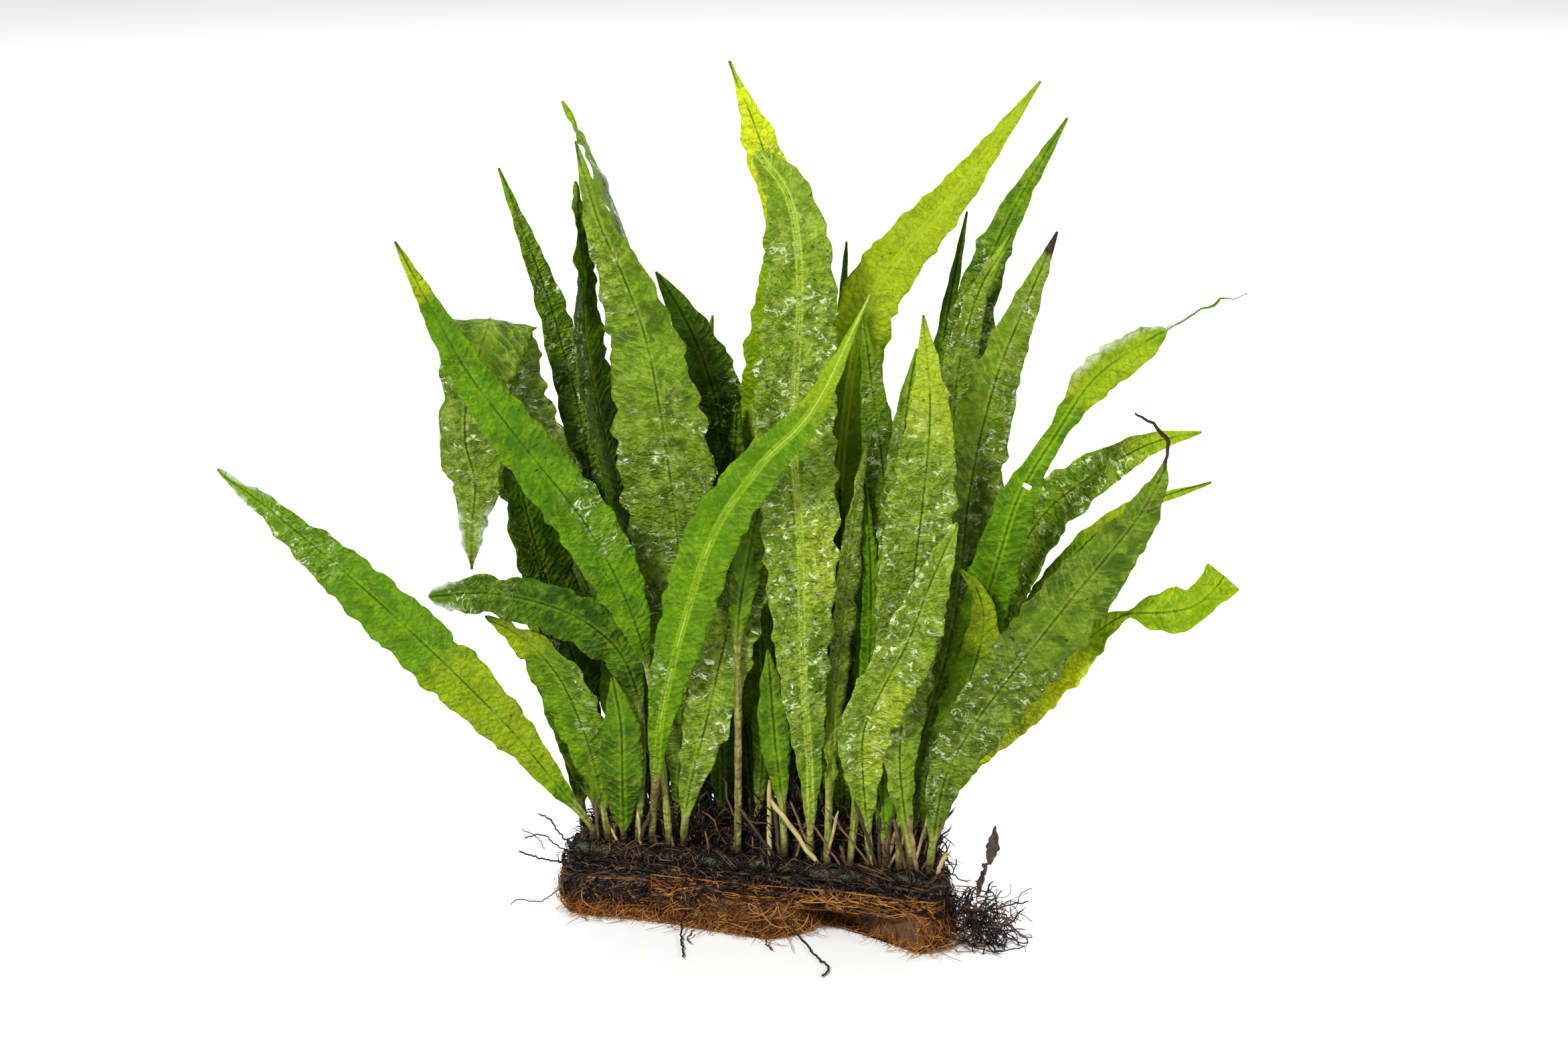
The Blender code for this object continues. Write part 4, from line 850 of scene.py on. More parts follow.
class Graph:
    """A material's node tree, with short calls for the nodes used here."""

    def __init__(self, name):
        self.material = bpy.data.materials.new(name)
        self.material.use_nodes = True
        self.tree = self.material.node_tree
        self.tree.nodes.clear()

    def fill(self, socket, value):
        if isinstance(value, bpy.types.NodeSocket):
            self.tree.links.new(value, socket)
        elif socket.type == "RGBA":
            socket.default_value = (*value, 1.0)
        else:
            socket.default_value = value

    def node(self, kind, inputs=None, **settings):
        """A node with its settings, and its inputs filled by name or number."""
        made = self.tree.nodes.new("ShaderNode" + kind)
        for key, value in settings.items():
            setattr(made, key, value)
        for key, value in (inputs or {}).items():
            self.fill(made.inputs[key], value)
        return made

    def math(self, operation, first, second=0.0):
        return self.node("Math", {0: first, 1: second}, operation=operation).outputs[0]

    def product(self, first, second):
        return self.math("MULTIPLY", first, second)

    def total(self, first, *others):
        for other in others:
            first = self.math("ADD", first, other)
        return first

    def inverse(self, value):
        return self.math("SUBTRACT", 1.0, value)

    def mix(self, share, first, second, blend_type="MIX"):
        made = self.node("Mix", {0: share, 6: first, 7: second}, data_type="RGBA", blend_type=blend_type)
        return made.outputs[2]

    def within(self, value, low, high):
        """0 below low, 1 above high, smooth between."""
        inputs = {0: value, 1: low, 2: high, 3: 0.0, 4: 1.0}
        return self.node("MapRange", inputs, interpolation_type="SMOOTHSTEP").outputs[0]

    def noise(self, vector, scale, detail=2.0, roughness=0.5, distortion=0.0):
        inputs = {"Vector": vector, "Scale": scale, "Detail": detail, "Roughness": roughness,
                  "Distortion": distortion}
        return self.node("TexNoise", inputs).outputs[0]

    def ridges(self, vector, scale, width, distortion):
        """Thin curly lines, 1 on each line and 0 beyond its width."""
        field = self.noise(vector, scale, 1.0, 0.5, distortion)
        away = self.math("ABSOLUTE", self.math("SUBTRACT", field, 0.5))
        return self.inverse(self.within(away, 0.0, width))

    def attribute(self, name, output="Fac"):
        return self.node("Attribute", attribute_name=name).outputs[output]

    def four(self, name):
        """An attribute's four values."""
        source = self.node("Attribute", attribute_name=name)
        parts = self.node("SeparateColor", {0: source.outputs["Color"]}).outputs
        return parts[0], parts[1], parts[2], source.outputs["Alpha"]

    def stretched(self, vector, scale):
        return self.node("Mapping", {"Vector": vector, "Scale": scale}, vector_type="POINT").outputs[0]

    def bump(self, height, distance):
        return self.node("Bump", {"Strength": 1.0, "Distance": distance, "Height": height}).outputs[0]

    def finish(self, shader):
        self.node("OutputMaterial", {"Surface": shader})
        return self.material


# What a frond's material works with: the values that its mesh carries, and patterns drawn from them.
LeafFields = namedtuple("LeafFields", "place along away yellow shade wrinkled brown spots pale rib_tone gold "
                                      "stalk bark golden light blotches mottle fine vein vein_line net curls")


def leaf_fields(g):
    """The mesh's values, and the noise, veins, net and curly wrinkles of a frond's surface."""
    place = g.attribute("place", "Vector")
    yellow, shade, wrinkled, brown = g.four("tone")
    spots, pale, rib_tone, gold = g.four("marks")
    stalk, bark, golden, light = g.four("growth")
    x, along, _ = g.node("SeparateXYZ", {0: place}).outputs
    away = g.math("ABSOLUTE", x)
    blotches = g.noise(place, 0.10, 2.0, 0.55)
    mottle = g.noise(place, 0.30, 2.0, 0.5)
    fine = g.noise(place, 1.6, 3.0, 0.6)
    slanted = g.math("SUBTRACT", along, g.product(away, VEIN_SLANT))
    wobble = g.product(g.noise(place, 0.22, 2.0), 5.0)
    vein = g.math("SINE", g.product(g.total(slanted, wobble), math.tau / FINE_VEIN_SPACING))
    vein_line = g.within(vein, 0.55, 1.0)
    cells = g.stretched(place, (0.36, 0.50, 1.0))
    net = g.node("TexVoronoi", {"Vector": cells, "Scale": 1.0}, feature="DISTANCE_TO_EDGE").outputs[0]
    curls = g.ridges(g.stretched(place, (0.8, 1.2, 1.0)), 0.38, 0.060, 0.9)
    return LeafFields(place, along, away, yellow, shade, wrinkled, brown, spots, pale, rib_tone, gold, stalk,
                      bark, golden, light, blotches, mottle, fine, vein, vein_line, net, curls)


def blade_colour(g, f, leaf):
    """The blade itself: blotched green, yellowed in places, with its veins and their net."""
    net_line = g.inverse(g.within(f.net, 0.01, 0.09))
    veins_pale = g.within(g.noise(f.place, 0.06, 1.0, 0.5), 0.42, 0.55)
    colour = g.mix(g.within(f.blotches, 0.38, 0.60), leaf.body, leaf.deep)
    colour = g.mix(g.product(g.within(f.mottle, 0.46, 0.66), 0.45), colour, leaf.young)
    young = g.total(f.yellow, g.product(g.math("SUBTRACT", f.blotches, 0.5), 0.8))
    colour = g.mix(g.within(young, 0.05, 1.0), colour, leaf.young)
    yellowed = g.total(f.gold, g.product(g.math("SUBTRACT", f.mottle, 0.5), 1.2))
    colour = g.mix(g.product(g.within(yellowed, 0.25, 1.15), f.golden), colour, GOLD)
    colour = g.mix(g.within(f.shade, 0.0, 1.0), colour, tuple(0.55 * c for c in leaf.deep))
    # Pale vein lines take the painted sheen's colour in places, dark vein lines elsewhere.
    colour = g.mix(g.product(f.vein_line, g.product(veins_pale, 0.28)), colour, leaf.veil)
    colour = g.mix(g.product(f.vein_line, g.product(g.inverse(veins_pale), 0.25)), colour, leaf.deep)
    colour = g.mix(g.product(net_line, 0.46), colour, leaf.deep)
    grain = g.product(g.within(f.fine, 0.50, 0.75), 0.24)
    return g.mix(grain, colour, tuple(0.5 * c for c in leaf.deep))


def glossed(g, f, leaf, colour):
    """The wet gloss of the crumpled stretches, painted into their colour: a painted sheen,
    painted shade in small creases and painted curly glints.
    """
    # A painted sheen over the crumpled stretches, patchy with the mottles.
    veil = g.product(f.wrinkled, g.within(g.total(f.mottle, g.product(f.fine, 0.3)), 0.45, 0.85))
    colour = g.mix(g.product(veil, 0.30), colour, leaf.veil)
    # Painted shade in small creases among the glints.
    crease_shade = g.within(g.noise(g.stretched(f.place, (0.9, 1.3, 1.0)), 0.55, 2.0, 0.6), 0.50, 0.62)
    colour = g.mix(g.product(g.product(crease_shade, f.wrinkled), 0.5), colour, leaf.deep)
    # Painted highlights: curly white glints, broken up and crowded in clusters.
    broken = g.within(g.noise(f.place, 0.35, 1.0, 0.5), 0.45, 0.56)
    crowded = g.within(g.total(f.blotches, g.product(f.wrinkled, 0.08)), 0.46, 0.66)
    glint = g.product(g.product(f.curls, broken), g.product(f.wrinkled, crowded))
    return g.mix(g.product(glint, 0.95), colour, SHEEN)


def marked(g, f, leaf, colour):
    """The midrib's lines, specks, whitish margins, a browned tip and the frond's own lightness."""
    faded = g.within(g.noise(f.place, 0.07, 2.0, 0.6), 0.40, 0.56)
    rib_line = g.product(g.inverse(g.within(f.away, 0.14, 0.38)), g.total(0.25, g.product(faded, 0.6)))
    rib_side = g.product(g.within(f.away, 0.30, 0.60), g.inverse(g.within(f.away, 0.8, 1.5)))
    colour = g.mix(g.product(rib_side, g.within(f.rib_tone, -1.0, 0.6)), colour, leaf.young)
    colour = g.mix(g.product(rib_line, g.inverse(g.within(f.rib_tone, -0.2, 0.8))), colour,
                   tuple(0.5 * c for c in leaf.deep))
    colour = g.mix(g.product(rib_line, g.within(f.rib_tone, 0.0, 0.8)), colour, PALE_RIB)
    speck_field = g.total(g.noise(f.place, 0.8, 2.0, 0.5), g.product(f.spots, 0.09))
    colour = g.mix(g.product(g.within(speck_field, 0.735, 0.775), 0.8), colour, SPECK)
    colour = g.mix(g.product(f.pale, g.within(f.mottle, 0.3, 0.6)), colour, PALE_MARGIN)
    browned = g.within(g.total(f.brown, g.product(f.mottle, 0.5)), 0.55, 0.85)
    colour = g.mix(browned, colour, DEAD)
    return g.mix(1.0, colour, f.light, "MULTIPLY")


def stalk_colour(g, f):
    """A streaky stalk, green to pale, barky in places, dark at its foot."""
    streaks = g.noise(g.stretched(f.place, (1.4, 0.10, 1.0)), 1.0, 2.0, 0.6)
    colour = g.mix(g.within(streaks, 0.35, 0.62), STALK_DARK, STALK_PALE)
    barky = g.total(f.bark, g.product(g.math("SUBTRACT", f.mottle, 0.5), 1.6))
    colour = g.mix(g.within(barky, 0.15, 1.1), colour, STALK_BARK)
    return g.mix(g.inverse(g.within(f.along, 1.0, 9.0)), colour, STALK_FOOT)


def leaf_height(g, f):
    """The fine relief: pillows in the net, veins, and creases, strongest in the crumpled stretches."""
    pillow = g.total(g.product(g.within(f.net, 0.0, 0.45), 0.32), g.product(f.vein, 0.10))
    creases = g.ridges(g.stretched(f.place, (0.8, 1.4, 1.0)), 0.30, 0.25, 1.2)
    crumple = g.total(g.product(creases, 0.45), g.product(f.curls, 0.20))
    return g.total(pillow, g.product(crumple, g.total(0.2, f.wrinkled)), g.product(f.mottle, 0.5),
                   g.product(f.fine, 0.04))


def frond_material(name, leaf):
    """A wet fern blade: netted veins, pillows between them, glossy wrinkles with a painted sheen and
    painted glints, light shining through.
    """
    g = Graph(name)
    f = leaf_fields(g)
    colour = marked(g, f, leaf, glossed(g, f, leaf, blade_colour(g, f, leaf)))
    colour = g.mix(f.stalk, colour, stalk_colour(g, f))
    normal = g.bump(leaf_height(g, f), 0.001)
    roughness = g.total(0.26, g.product(f.mottle, 0.20), g.product(f.wrinkled, -0.10))
    surface = g.node("BsdfPrincipled", {"Base Color": colour, "Roughness": roughness, "Normal": normal,
                                        "IOR": LEAF_IOR, "Specular IOR Level": LEAF_SPECULAR}).outputs[0]
    glow = g.mix(0.35, colour, leaf.young)
    through = g.node("BsdfTranslucent", {"Color": glow, "Normal": normal}).outputs[0]
    both = g.node("MixShader", {0: THROUGH_SHARE, 1: surface, 2: through}).outputs[0]
    return g.finish(both)


# Old dead leaves, darkened with painted shade to fill the shade between the stalks, on the middle
# and back rhizomes by turns: place across, height of the tip on the front drawing, lean to the right
# and width.
SHADED_OLD_LEAVES = (
    (-37, 44, -4, 8), (-29, 56, 2, 9), (-17, 58, 2, 10), (-8, 50, 3, 9), (1, 56, -3, 9), (10, 52, 4, 9),
    (19, 57, 2, 10), (28, 50, 4, 9), (37, 48, 3, 8),
)


def make_shaded_old_leaves(material):
    """Small dead leaves, brown to black, deep between the stalks: partly dead leaves, partly painted shade.
    """
    rows = ("back", "middle")
    for number, (across, height, lean, width) in enumerate(SHADED_OLD_LEAVES, start=1):
        row = rows[number % 2]
        foot = rhizome_point(row, across)
        depth = foot[1] + 3.0
        base = foot[2] * math.cos(VIEW_PITCH) + depth * math.sin(VIEW_PITCH)
        path = [(across + lean * share, base + (height - base) * share, depth + 2.0 * share)
                for share in (0.3, 0.65, 1.0)]
        spec = frond(f"old_leaf_{number}", row, across, width, path, stalk=0.1, widest=0.55, taper=0.8,
                     turn=(0, 20 - 9 * (number % 5)))
        # Painted shade: a high shade share and a low lightness make them dark.
        seen = look(1.3, 11.0, 0.3, 0.0, 0.6, 0.2, 0.6, bark=0.9, light=0.55)
        corners, faces, attributes = frond_shape(spec, seen, OLD_LEAF_SEED + number)
        new_piece(spec.name, corners, faces, material, (), attributes)


def make_fronds():
    materials = {tint: frond_material(f"frond_{tint}", leaf) for tint, leaf in LEAVES.items()}
    for seed, spec in enumerate(FRONDS, start=1):
        seen = LOOKS.get(spec.name, look())
        corners, faces, attributes = frond_shape(spec, seen, seed)
        new_piece(spec.name + "_blade", corners, faces, materials[spec.tint],
                  (spec.name,), attributes)
    make_shaded_old_leaves(materials["dark"])


def rough_material(name, colours, scale, bump_distance, roughness, stretch=(1.0, 1.0, 1.0)):
    """A rough fibrous surface whose colour wanders between three given ones; scale is per metre."""
    g = Graph(name)
    place = g.stretched(g.node("TexCoord").outputs["Object"], stretch)
    broad = g.noise(place, scale, 4.0, 0.6)
    fine = g.noise(place, 5.0 * scale, 3.0, 0.6)
    colour = g.mix(g.within(broad, 0.35, 0.6), colours[0], colours[1])
    colour = g.mix(g.within(fine, 0.5, 0.8), colour, colours[2])
    normal = g.bump(g.total(broad, g.product(fine, 0.6)), bump_distance)
    surface = g.node("BsdfPrincipled", {"Base Color": colour, "Roughness": roughness, "Normal": normal})
    return g.finish(surface.outputs[0])


def strand_material(name, dark, body, light, roughness, specular=0.4):
    """Fibres and roots: each strand has its own place between dark and light, and mottles along it."""
    g = Graph(name)
    strand = g.attribute("strand")
    mottle = g.noise(g.node("TexCoord").outputs["Object"], 420.0, 3.0, 0.6)
    share = g.total(strand, g.product(g.math("SUBTRACT", mottle, 0.5), 0.8))
    colour = g.mix(g.within(share, 0.0, 0.5), dark, body)
    colour = g.mix(g.within(share, 0.55, 1.05), colour, light)
    surface = g.node("BsdfPrincipled", {"Base Color": colour, "Roughness": roughness,
                                        "Normal": g.bump(mottle, 0.0001), "Specular IOR Level": specular})
    return g.finish(surface.outputs[0])


class Mat:
    """The coir mat's outline and rim, as a surface to lay fibres on."""

    def __init__(self):
        self.outline = smooth_curve(MAT_OUTLINE, OUTLINE_POINTS, closed=True)[0]
        self.middle = self.outline.mean(axis=0)
        offsets = self.outline - self.middle
        angles = np.arctan2(offsets[:, 1], offsets[:, 0])
        order = np.argsort(angles)
        self.angles = angles[order]
        self.radii = np.linalg.norm(offsets, axis=1)[order]
        self.perimeter = np.linalg.norm(self.outline - np.roll(self.outline, 1, axis=0), axis=1).sum()

    def radius(self, angle):
        return np.interp(angle, self.angles, self.radii, period=math.tau)

    def share(self, xy):
        """How far out a point is: 1 on the outline."""
        offset = xy - self.middle
        angle = np.arctan2(offset[..., 1], offset[..., 0])
        return np.linalg.norm(offset, axis=-1) / self.radius(angle)

    def held(self, xy, most):
        """Points outside the given share of the outline pulled back onto it."""
        share = self.share(xy)
        return self.middle + (xy - self.middle) * np.minimum(1.0, most / np.maximum(share, 1e-6))[..., None]

    def scattered(self, rng, count, most):
        """Points spread over the mat out to a share of its outline."""
        angle = rng.uniform(0, math.tau, count)
        reach = self.radius(angle) * most * np.sqrt(rng.uniform(0, 1, count))
        return self.middle + np.stack((np.cos(angle), np.sin(angle)), axis=-1) * reach[:, None]

    def rim(self, turn, up):
        """Points of the rim: turn is the share of the way round, up the share of its height."""
        index = (turn % 1.0) * len(self.outline)
        low = index.astype(int) % len(self.outline)
        rest = (index - np.floor(index))[..., None]
        xy = self.outline[low] * (1.0 - rest) + self.outline[(low + 1) % len(self.outline)] * rest
        shares, heights = np.array(MAT_RIM).T
        xy = self.middle + np.interp(up, heights, shares)[..., None] * (xy - self.middle)
        return raised(xy, MAT_THICKNESS * up)

    def outward(self, points):
        """The directions away from the mat's middle, seen from above."""
        return unit(points[..., :2] - self.middle)


def tangle_ring(across):
    """The root tangle's section at one place: flat below, with a bed for each rhizome above."""
    columns = np.array(ROOTS).T
    front, back, *ridges = (np.interp(across, columns[0], column) for column in columns[1:])
    bottom = MAT_THICKNESS + GAP
    rim = bottom + ROOTS_RIM
    bed = bottom + ROOTS_BED
    top = [(front + ROOTS_SHOULDER, rim + ROOTS_SHOULDER_RISE)]
    for row, before, after in zip(ROWS, ridges, ridges[1:]):
        middle = rhizome_point(row, across)[1]
        top += [(middle - RIDGE_CREST, bed + before), (middle - RIDGE_CLEARANCE, bed),
                (middle + RIDGE_CLEARANCE, bed), (middle + RIDGE_CREST, bed + after)]
    top.append((back - ROOTS_SHOULDER, rim + ROOTS_SHOULDER_RISE))
    from_end = min(across - ROOTS[0].across, ROOTS[-1].across - across)
    ring = [(across, front + ROOTS_UNDERCUT, bottom), (across, front, rim)]
    for place, (y, z) in enumerate(top):
        y = max(front + RIDGE_STEP * (place + 1), min(back - RIDGE_STEP * (len(top) - place), y))
        reach = min(y - front, back - y, from_end)
        ring.append((across, y, min(z, rim + ROOTS_EDGE_SLOPE * reach)))
    return [*ring, (across, back, rim), (across, back - ROOTS_UNDERCUT, bottom)]


class Mound:
    """The root tangle's upper surface, as heights on a grid."""

    def __init__(self):
        self.across = np.linspace(ROOTS[0].across, ROOTS[-1].across, 141)
        self.depth = np.linspace(-42.0, 44.0, 173)
        sections = [np.array(tangle_ring(x))[1:-1] for x in self.across]
        self.front = np.array([section[0, 1] for section in sections])
        self.back = np.array([section[-1, 1] for section in sections])
        self.heights = np.array([np.interp(self.depth, s[:, 1], s[:, 2]) for s in sections])

    def height(self, xy):
        """The surface's height at points seen from above; beside the tangle, that of its nearest edge."""
        column = np.clip((xy[..., 0] - self.across[0]) / (self.across[1] - self.across[0]), 0, 139.999)
        row = np.clip((xy[..., 1] - self.depth[0]) / (self.depth[1] - self.depth[0]), 0, 171.999)
        i, j = column.astype(int), row.astype(int)
        a, b = column - i, row - j
        grid = self.heights
        return ((1 - a) * (1 - b) * grid[i, j] + a * (1 - b) * grid[i + 1, j]
                + (1 - a) * b * grid[i, j + 1] + a * b * grid[i + 1, j + 1])

    def scattered(self, rng, count):
        """Points spread over the tangle, seen from above."""
        x = rng.uniform(self.across[2], self.across[-3], count)
        front = np.interp(x, self.across, self.front)
        back = np.interp(x, self.across, self.back)
        return np.stack((x, front + (back - front) * rng.uniform(0.0, 1.0, count)), axis=-1)


def strides(rng, kind):
    """The length of each strand's steps."""
    return rng.uniform(*kind.steps, kind.count)


def any_way(rng, kind):
    """A heading for each strand, all round."""
    return rng.uniform(0, math.tau, kind.count)


def sideways(rng, kind, spread):
    """A heading for each strand, to the left or the right, give or take the spread in radians."""
    return rng.choice((0.0, math.pi), kind.count) + rng.normal(0.0, spread, kind.count)


def drifting(rng, kind, size):
    """A random walk along each strand."""
    return rng.normal(0.0, size, (kind.count, kind.points)).cumsum(axis=1)


def wander(rng, kind, stride, heading):
    """Paths in the plane that turn at random, as offsets from their starts: (count, points, 2)."""
    turning = drifting(rng, kind, kind.bend) * 0.5 + rng.normal(0, kind.bend, (kind.count, 1))
    angle = heading[:, None] + np.cumsum(turning, axis=1) * 0.5
    return np.cumsum(np.stack((np.cos(angle), np.sin(angle)), axis=-1) * stride[:, None, None], axis=1)


def curly_roots(rng, kind, starts, heading, climb, stride):
    """Root lines that wander in space from their starts: heading in the plane, climb the rise per step."""
    directions = np.stack((np.cos(heading), np.sin(heading), climb), axis=-1)
    lines = [starts]
    for _ in range(kind.points - 1):
        directions = unit(directions + rng.normal(0.0, kind.bend, (kind.count, 3)))
        lines.append(lines[-1] + directions * stride[:, None])
    return np.stack(lines, axis=1)


def strands(name, lines, rng, material, sides=STRAND_SIDES, replaced=(), tone=(0.0, 1.0)):
    """Many thin strands along the given lines, as one piece."""
    count, steps = lines.shape[:2]
    taper = np.ones(steps)
    taper[0] = taper[-1] = STRAND_END
    radii = rng.uniform(*STRANDS[name].radii, count)[:, None] * taper[None, :]
    corners, faces = tubes(lines, radii, sides)
    strand = np.repeat(rng.uniform(*tone, count), steps * sides)
    new_piece(name, corners, faces, material, replaced, {"strand": strand})


def uneven(points, rng, knobs):
    """Sums of slow waves through space: one value for each point."""
    total = np.zeros(points.shape[:-1])
    for reach, height in knobs:
        phase = rng.uniform(0, math.tau, 3)
        x, y, z = (math.tau / reach * points[..., axis] + phase[axis] for axis in range(3))
        total += height * np.sin(x) * np.sin(y) * np.cos(0.64 * z)
    return total


def turns_round(rng, stretches_round):
    """Places on the mat's rim, as shares of the way round it."""
    return np.concatenate([rng.uniform(start, end, count) for start, end, count in stretches_round])


def on_rhizomes(places):
    """Points on the rhizomes' middle lines at places across, on one rhizome after the other."""
    return np.array([rhizome_point(row, place) for row, place in zip(cycle(ROWS), places)])


def make_coir(mat):
    """The coir pad: its rough core, fibres wound along its rim, felted over its faces, and loose ones."""
    rng = np.random.default_rng(COIR_SEED)
    make_coir_core(mat, rng)
    fibre = strand_material("coir_fibre", *COIR_FIBRE, 0.6, 0.1)
    for name, spread in (("coir_wound", 0.25), ("coir_tangled", 1.3)):
        wind_coir(name, mat, rng, fibre, spread)
    felt_coir("coir_under", mat, rng, fibre, 0.2, 0.9)
    felt_coir("coir_over", mat, rng, fibre, MAT_THICKNESS - 0.3, MAT_THICKNESS + 0.5)
    make_loose_coir(mat, rng, fibre)
    return fibre


def make_coir_core(mat, rng):
    """The pad's rough dark core: rings of points out under it, up its rim and back in over it."""
    turns = np.arange(RIM_POINTS) / RIM_POINTS

    def flat_ring(share, up, height):
        edge = mat.rim(turns, np.full(RIM_POINTS, up))[:, :2]
        return raised(mat.middle + share * (edge - mat.middle), np.full(RIM_POINTS, height))

    core = np.array([*(flat_ring(share, 0.0, CORE_INSET) for share in (0.3, 0.6, 0.9)),
                     *(mat.rim(turns, np.full(RIM_POINTS, up)) for up in np.linspace(0.03, 0.97, 18)),
                     *(flat_ring(share, 1.0, MAT_THICKNESS - 0.3) for share in (0.9, 0.6, 0.3))])
    bumps = uneven(core, rng, ((14.0, 0.6), (6.0, 0.5), (2.6, 0.3)))
    core[..., :2] = mat.middle + (core[..., :2] - mat.middle) * (0.975 + 0.010 * bumps)[..., None]
    core[3:-3, :, 2] = np.clip(core[3:-3, :, 2] + 0.3 * bumps[3:-3], CORE_INSET, MAT_THICKNESS - 0.2)
    dark = rough_material("coir_core", COIR_CORE, 420.0, 0.0012, 0.9)
    new_piece("coir_core", core.reshape(-1, 3), ring_faces(*core.shape[:2]), dark, ("coir_mat",))


def wind_coir(name, mat, rng, fibre, spread):
    """Fibres that bow off the mat's rim and run along it, give or take the spread."""
    kind = STRANDS[name]
    each = (kind.count, 1)
    heading = sideways(rng, kind, spread)
    path = wander(rng, kind, strides(rng, kind), heading)
    turn = rng.uniform(0.0, 1.0, each) + path[..., 0] / mat.perimeter
    up = rng.uniform(0.0, 1.0, each) + path[..., 1] / MAT_THICKNESS
    lines = mat.rim(turn, np.clip(up, 0.02, 1.0))
    arch = np.sin(math.pi * np.linspace(0.0, 1.0, kind.points))
    bow = 2.2 * rng.uniform(0.0, 1.0, each) ** 2 * arch[None, :]
    lines[..., :2] += mat.outward(lines) * (bow + rng.normal(-0.2, 0.55, each))[..., None]
    lines[..., 2] = np.clip(lines[..., 2] + rng.normal(0, 0.4, each), 0.2, MAT_THICKNESS + 0.9)
    strands(name, lines, rng, fibre)


def felt_coir(name, mat, rng, fibre, low, high):
    """Fibres that lie over one of the mat's faces, at heights from low to high."""
    kind = STRANDS[name]
    start = mat.scattered(rng, kind.count, 0.95)
    path = wander(rng, kind, strides(rng, kind), any_way(rng, kind))
    xy = mat.held(start[:, None, :] + path, 0.975)
    z = rng.uniform(low, high, (kind.count, 1)) + drifting(rng, kind, 0.08)
    strands(name, raised(xy, np.clip(z, low, high)), rng, fibre)


def make_loose_coir(mat, rng, fibre):
    """Short fibres that stand off the mat's rim and sink towards the floor, most of them in front."""
    kind = STRANDS["coir_loose"]
    turn = np.repeat(turns_round(rng, LOOSE_TURNS)[:, None], kind.points, axis=1)
    lines = mat.rim(turn, np.repeat(rng.uniform(0.02, 0.55, (kind.count, 1)), kind.points, axis=1))
    out = mat.outward(lines[:, 0])
    heading = np.arctan2(out[:, 1], out[:, 0]) + rng.normal(0, 0.9, kind.count)
    stride = strides(rng, kind) * rng.choice((0.8, 1.8), kind.count, p=(0.85, 0.15))
    lines[..., :2] += wander(rng, kind, stride, heading) - 1.5 * out[:, None, :]
    fall = np.linspace(1.0, 0.0, kind.points) ** rng.uniform(0.5, 1.6, (kind.count, 1))
    ends = 0.5 * rng.uniform(0, 2, (kind.count, 1))
    lines[..., 2] = np.maximum(lines[..., 2] * fall + ends * (1 - fall), 0.15)
    strands("coir_loose", lines, rng, fibre, tone=(0.3, 1.0))


def make_coir_front(mound, fibre):
    """Coir fibres that lie over the tangle's front edge, from left of its middle to its right end."""
    rng = np.random.default_rng(COIR_FRONT_SEED)
    kind = STRANDS["coir_front"]
    each = (kind.count, 1)
    heading = sideways(rng, kind, 0.5)
    path = wander(rng, kind, strides(rng, kind), heading)
    x = np.clip(rng.uniform(BARE_FROM, 52.0, each) + path[..., 0], BARE_FROM - 4.0, 56.0)
    z = MAT_THICKNESS + rng.uniform(-2.6, 2.0, each) + 0.6 * path[..., 1]
    z = np.clip(z, MAT_THICKNESS - 3.2, MAT_THICKNESS + 2.6)
    arch = rng.uniform(0.0, 1.2, each) * np.sin(math.pi * np.linspace(0.0, 1.0, kind.points))[None, :]
    y = np.interp(x, mound.across, mound.front) - 1.3 - arch + rng.normal(0.0, 0.3, each)
    y = y + 0.5 * np.clip(z - MAT_THICKNESS - 1.0, 0.0, 4.0)
    strands("coir_front", np.stack((x, y, z), axis=-1), rng, fibre)


def make_roots(mat, fibre):
    """The black root tangle: its mass, a felt over it, loops, a thicket between the stalks, fringes."""
    rng = np.random.default_rng(ROOTS_SEED)
    mound = Mound()
    root = strand_material("root_strand", *ROOT_STRAND, 0.5, 0.22)
    make_root_bed(mound)
    make_root_felt(mat, mound, rng, root)
    make_root_loops(mat, mound, rng, root)
    make_thicket(mound, root)
    make_fringes(mat, mound, root)
    make_coir_front(mound, fibre)
    return root


def make_root_bed(mound):
    """The tangle's lumpy dark mass, just under the strands."""
    rng = np.random.default_rng(BED_SEED)
    sides = np.linspace(0.0, 1.0, 71)
    across = mound.across[1:-1:2]
    front, back = mound.front[1:-1:2], mound.back[1:-1:2]
    depth = front[:, None] + (back - front)[:, None] * sides[None, :]
    xy = np.stack((np.broadcast_to(across[:, None], depth.shape), depth), axis=-1)
    lumps = uneven(raised(xy, np.zeros_like(depth)), rng, ((9.0, 0.7), (4.0, 0.6), (2.1, 0.4)))
    bottom = MAT_THICKNESS + GAP
    top = np.maximum(mound.height(xy) - 0.5 + lumps, bottom + 0.3)
    corners = two_sides(raised(xy, top), raised(xy, np.full_like(top, bottom)))
    floor = rough_material("root_bed", ROOT_BED, 500.0, 0.0015, 0.85)
    new_piece("root_bed", corners, shell_faces(*depth.shape).tolist(), floor, ("root_tangle",))


def make_root_felt(mat, mound, rng, root):
    """Roots felted over the tangle's mass."""
    kind = STRANDS["root_felt"]
    start = mound.scattered(rng, kind.count)
    path = wander(rng, kind, strides(rng, kind), any_way(rng, kind))
    xy = mat.held(start[:, None, :] + path, 0.985)
    lift = rng.uniform(-0.3, 1.2, (kind.count, 1)) + drifting(rng, kind, 0.45)
    strands("root_felt", raised(xy, mound.height(xy) + np.clip(lift, -0.4, 3.0)), rng, root)


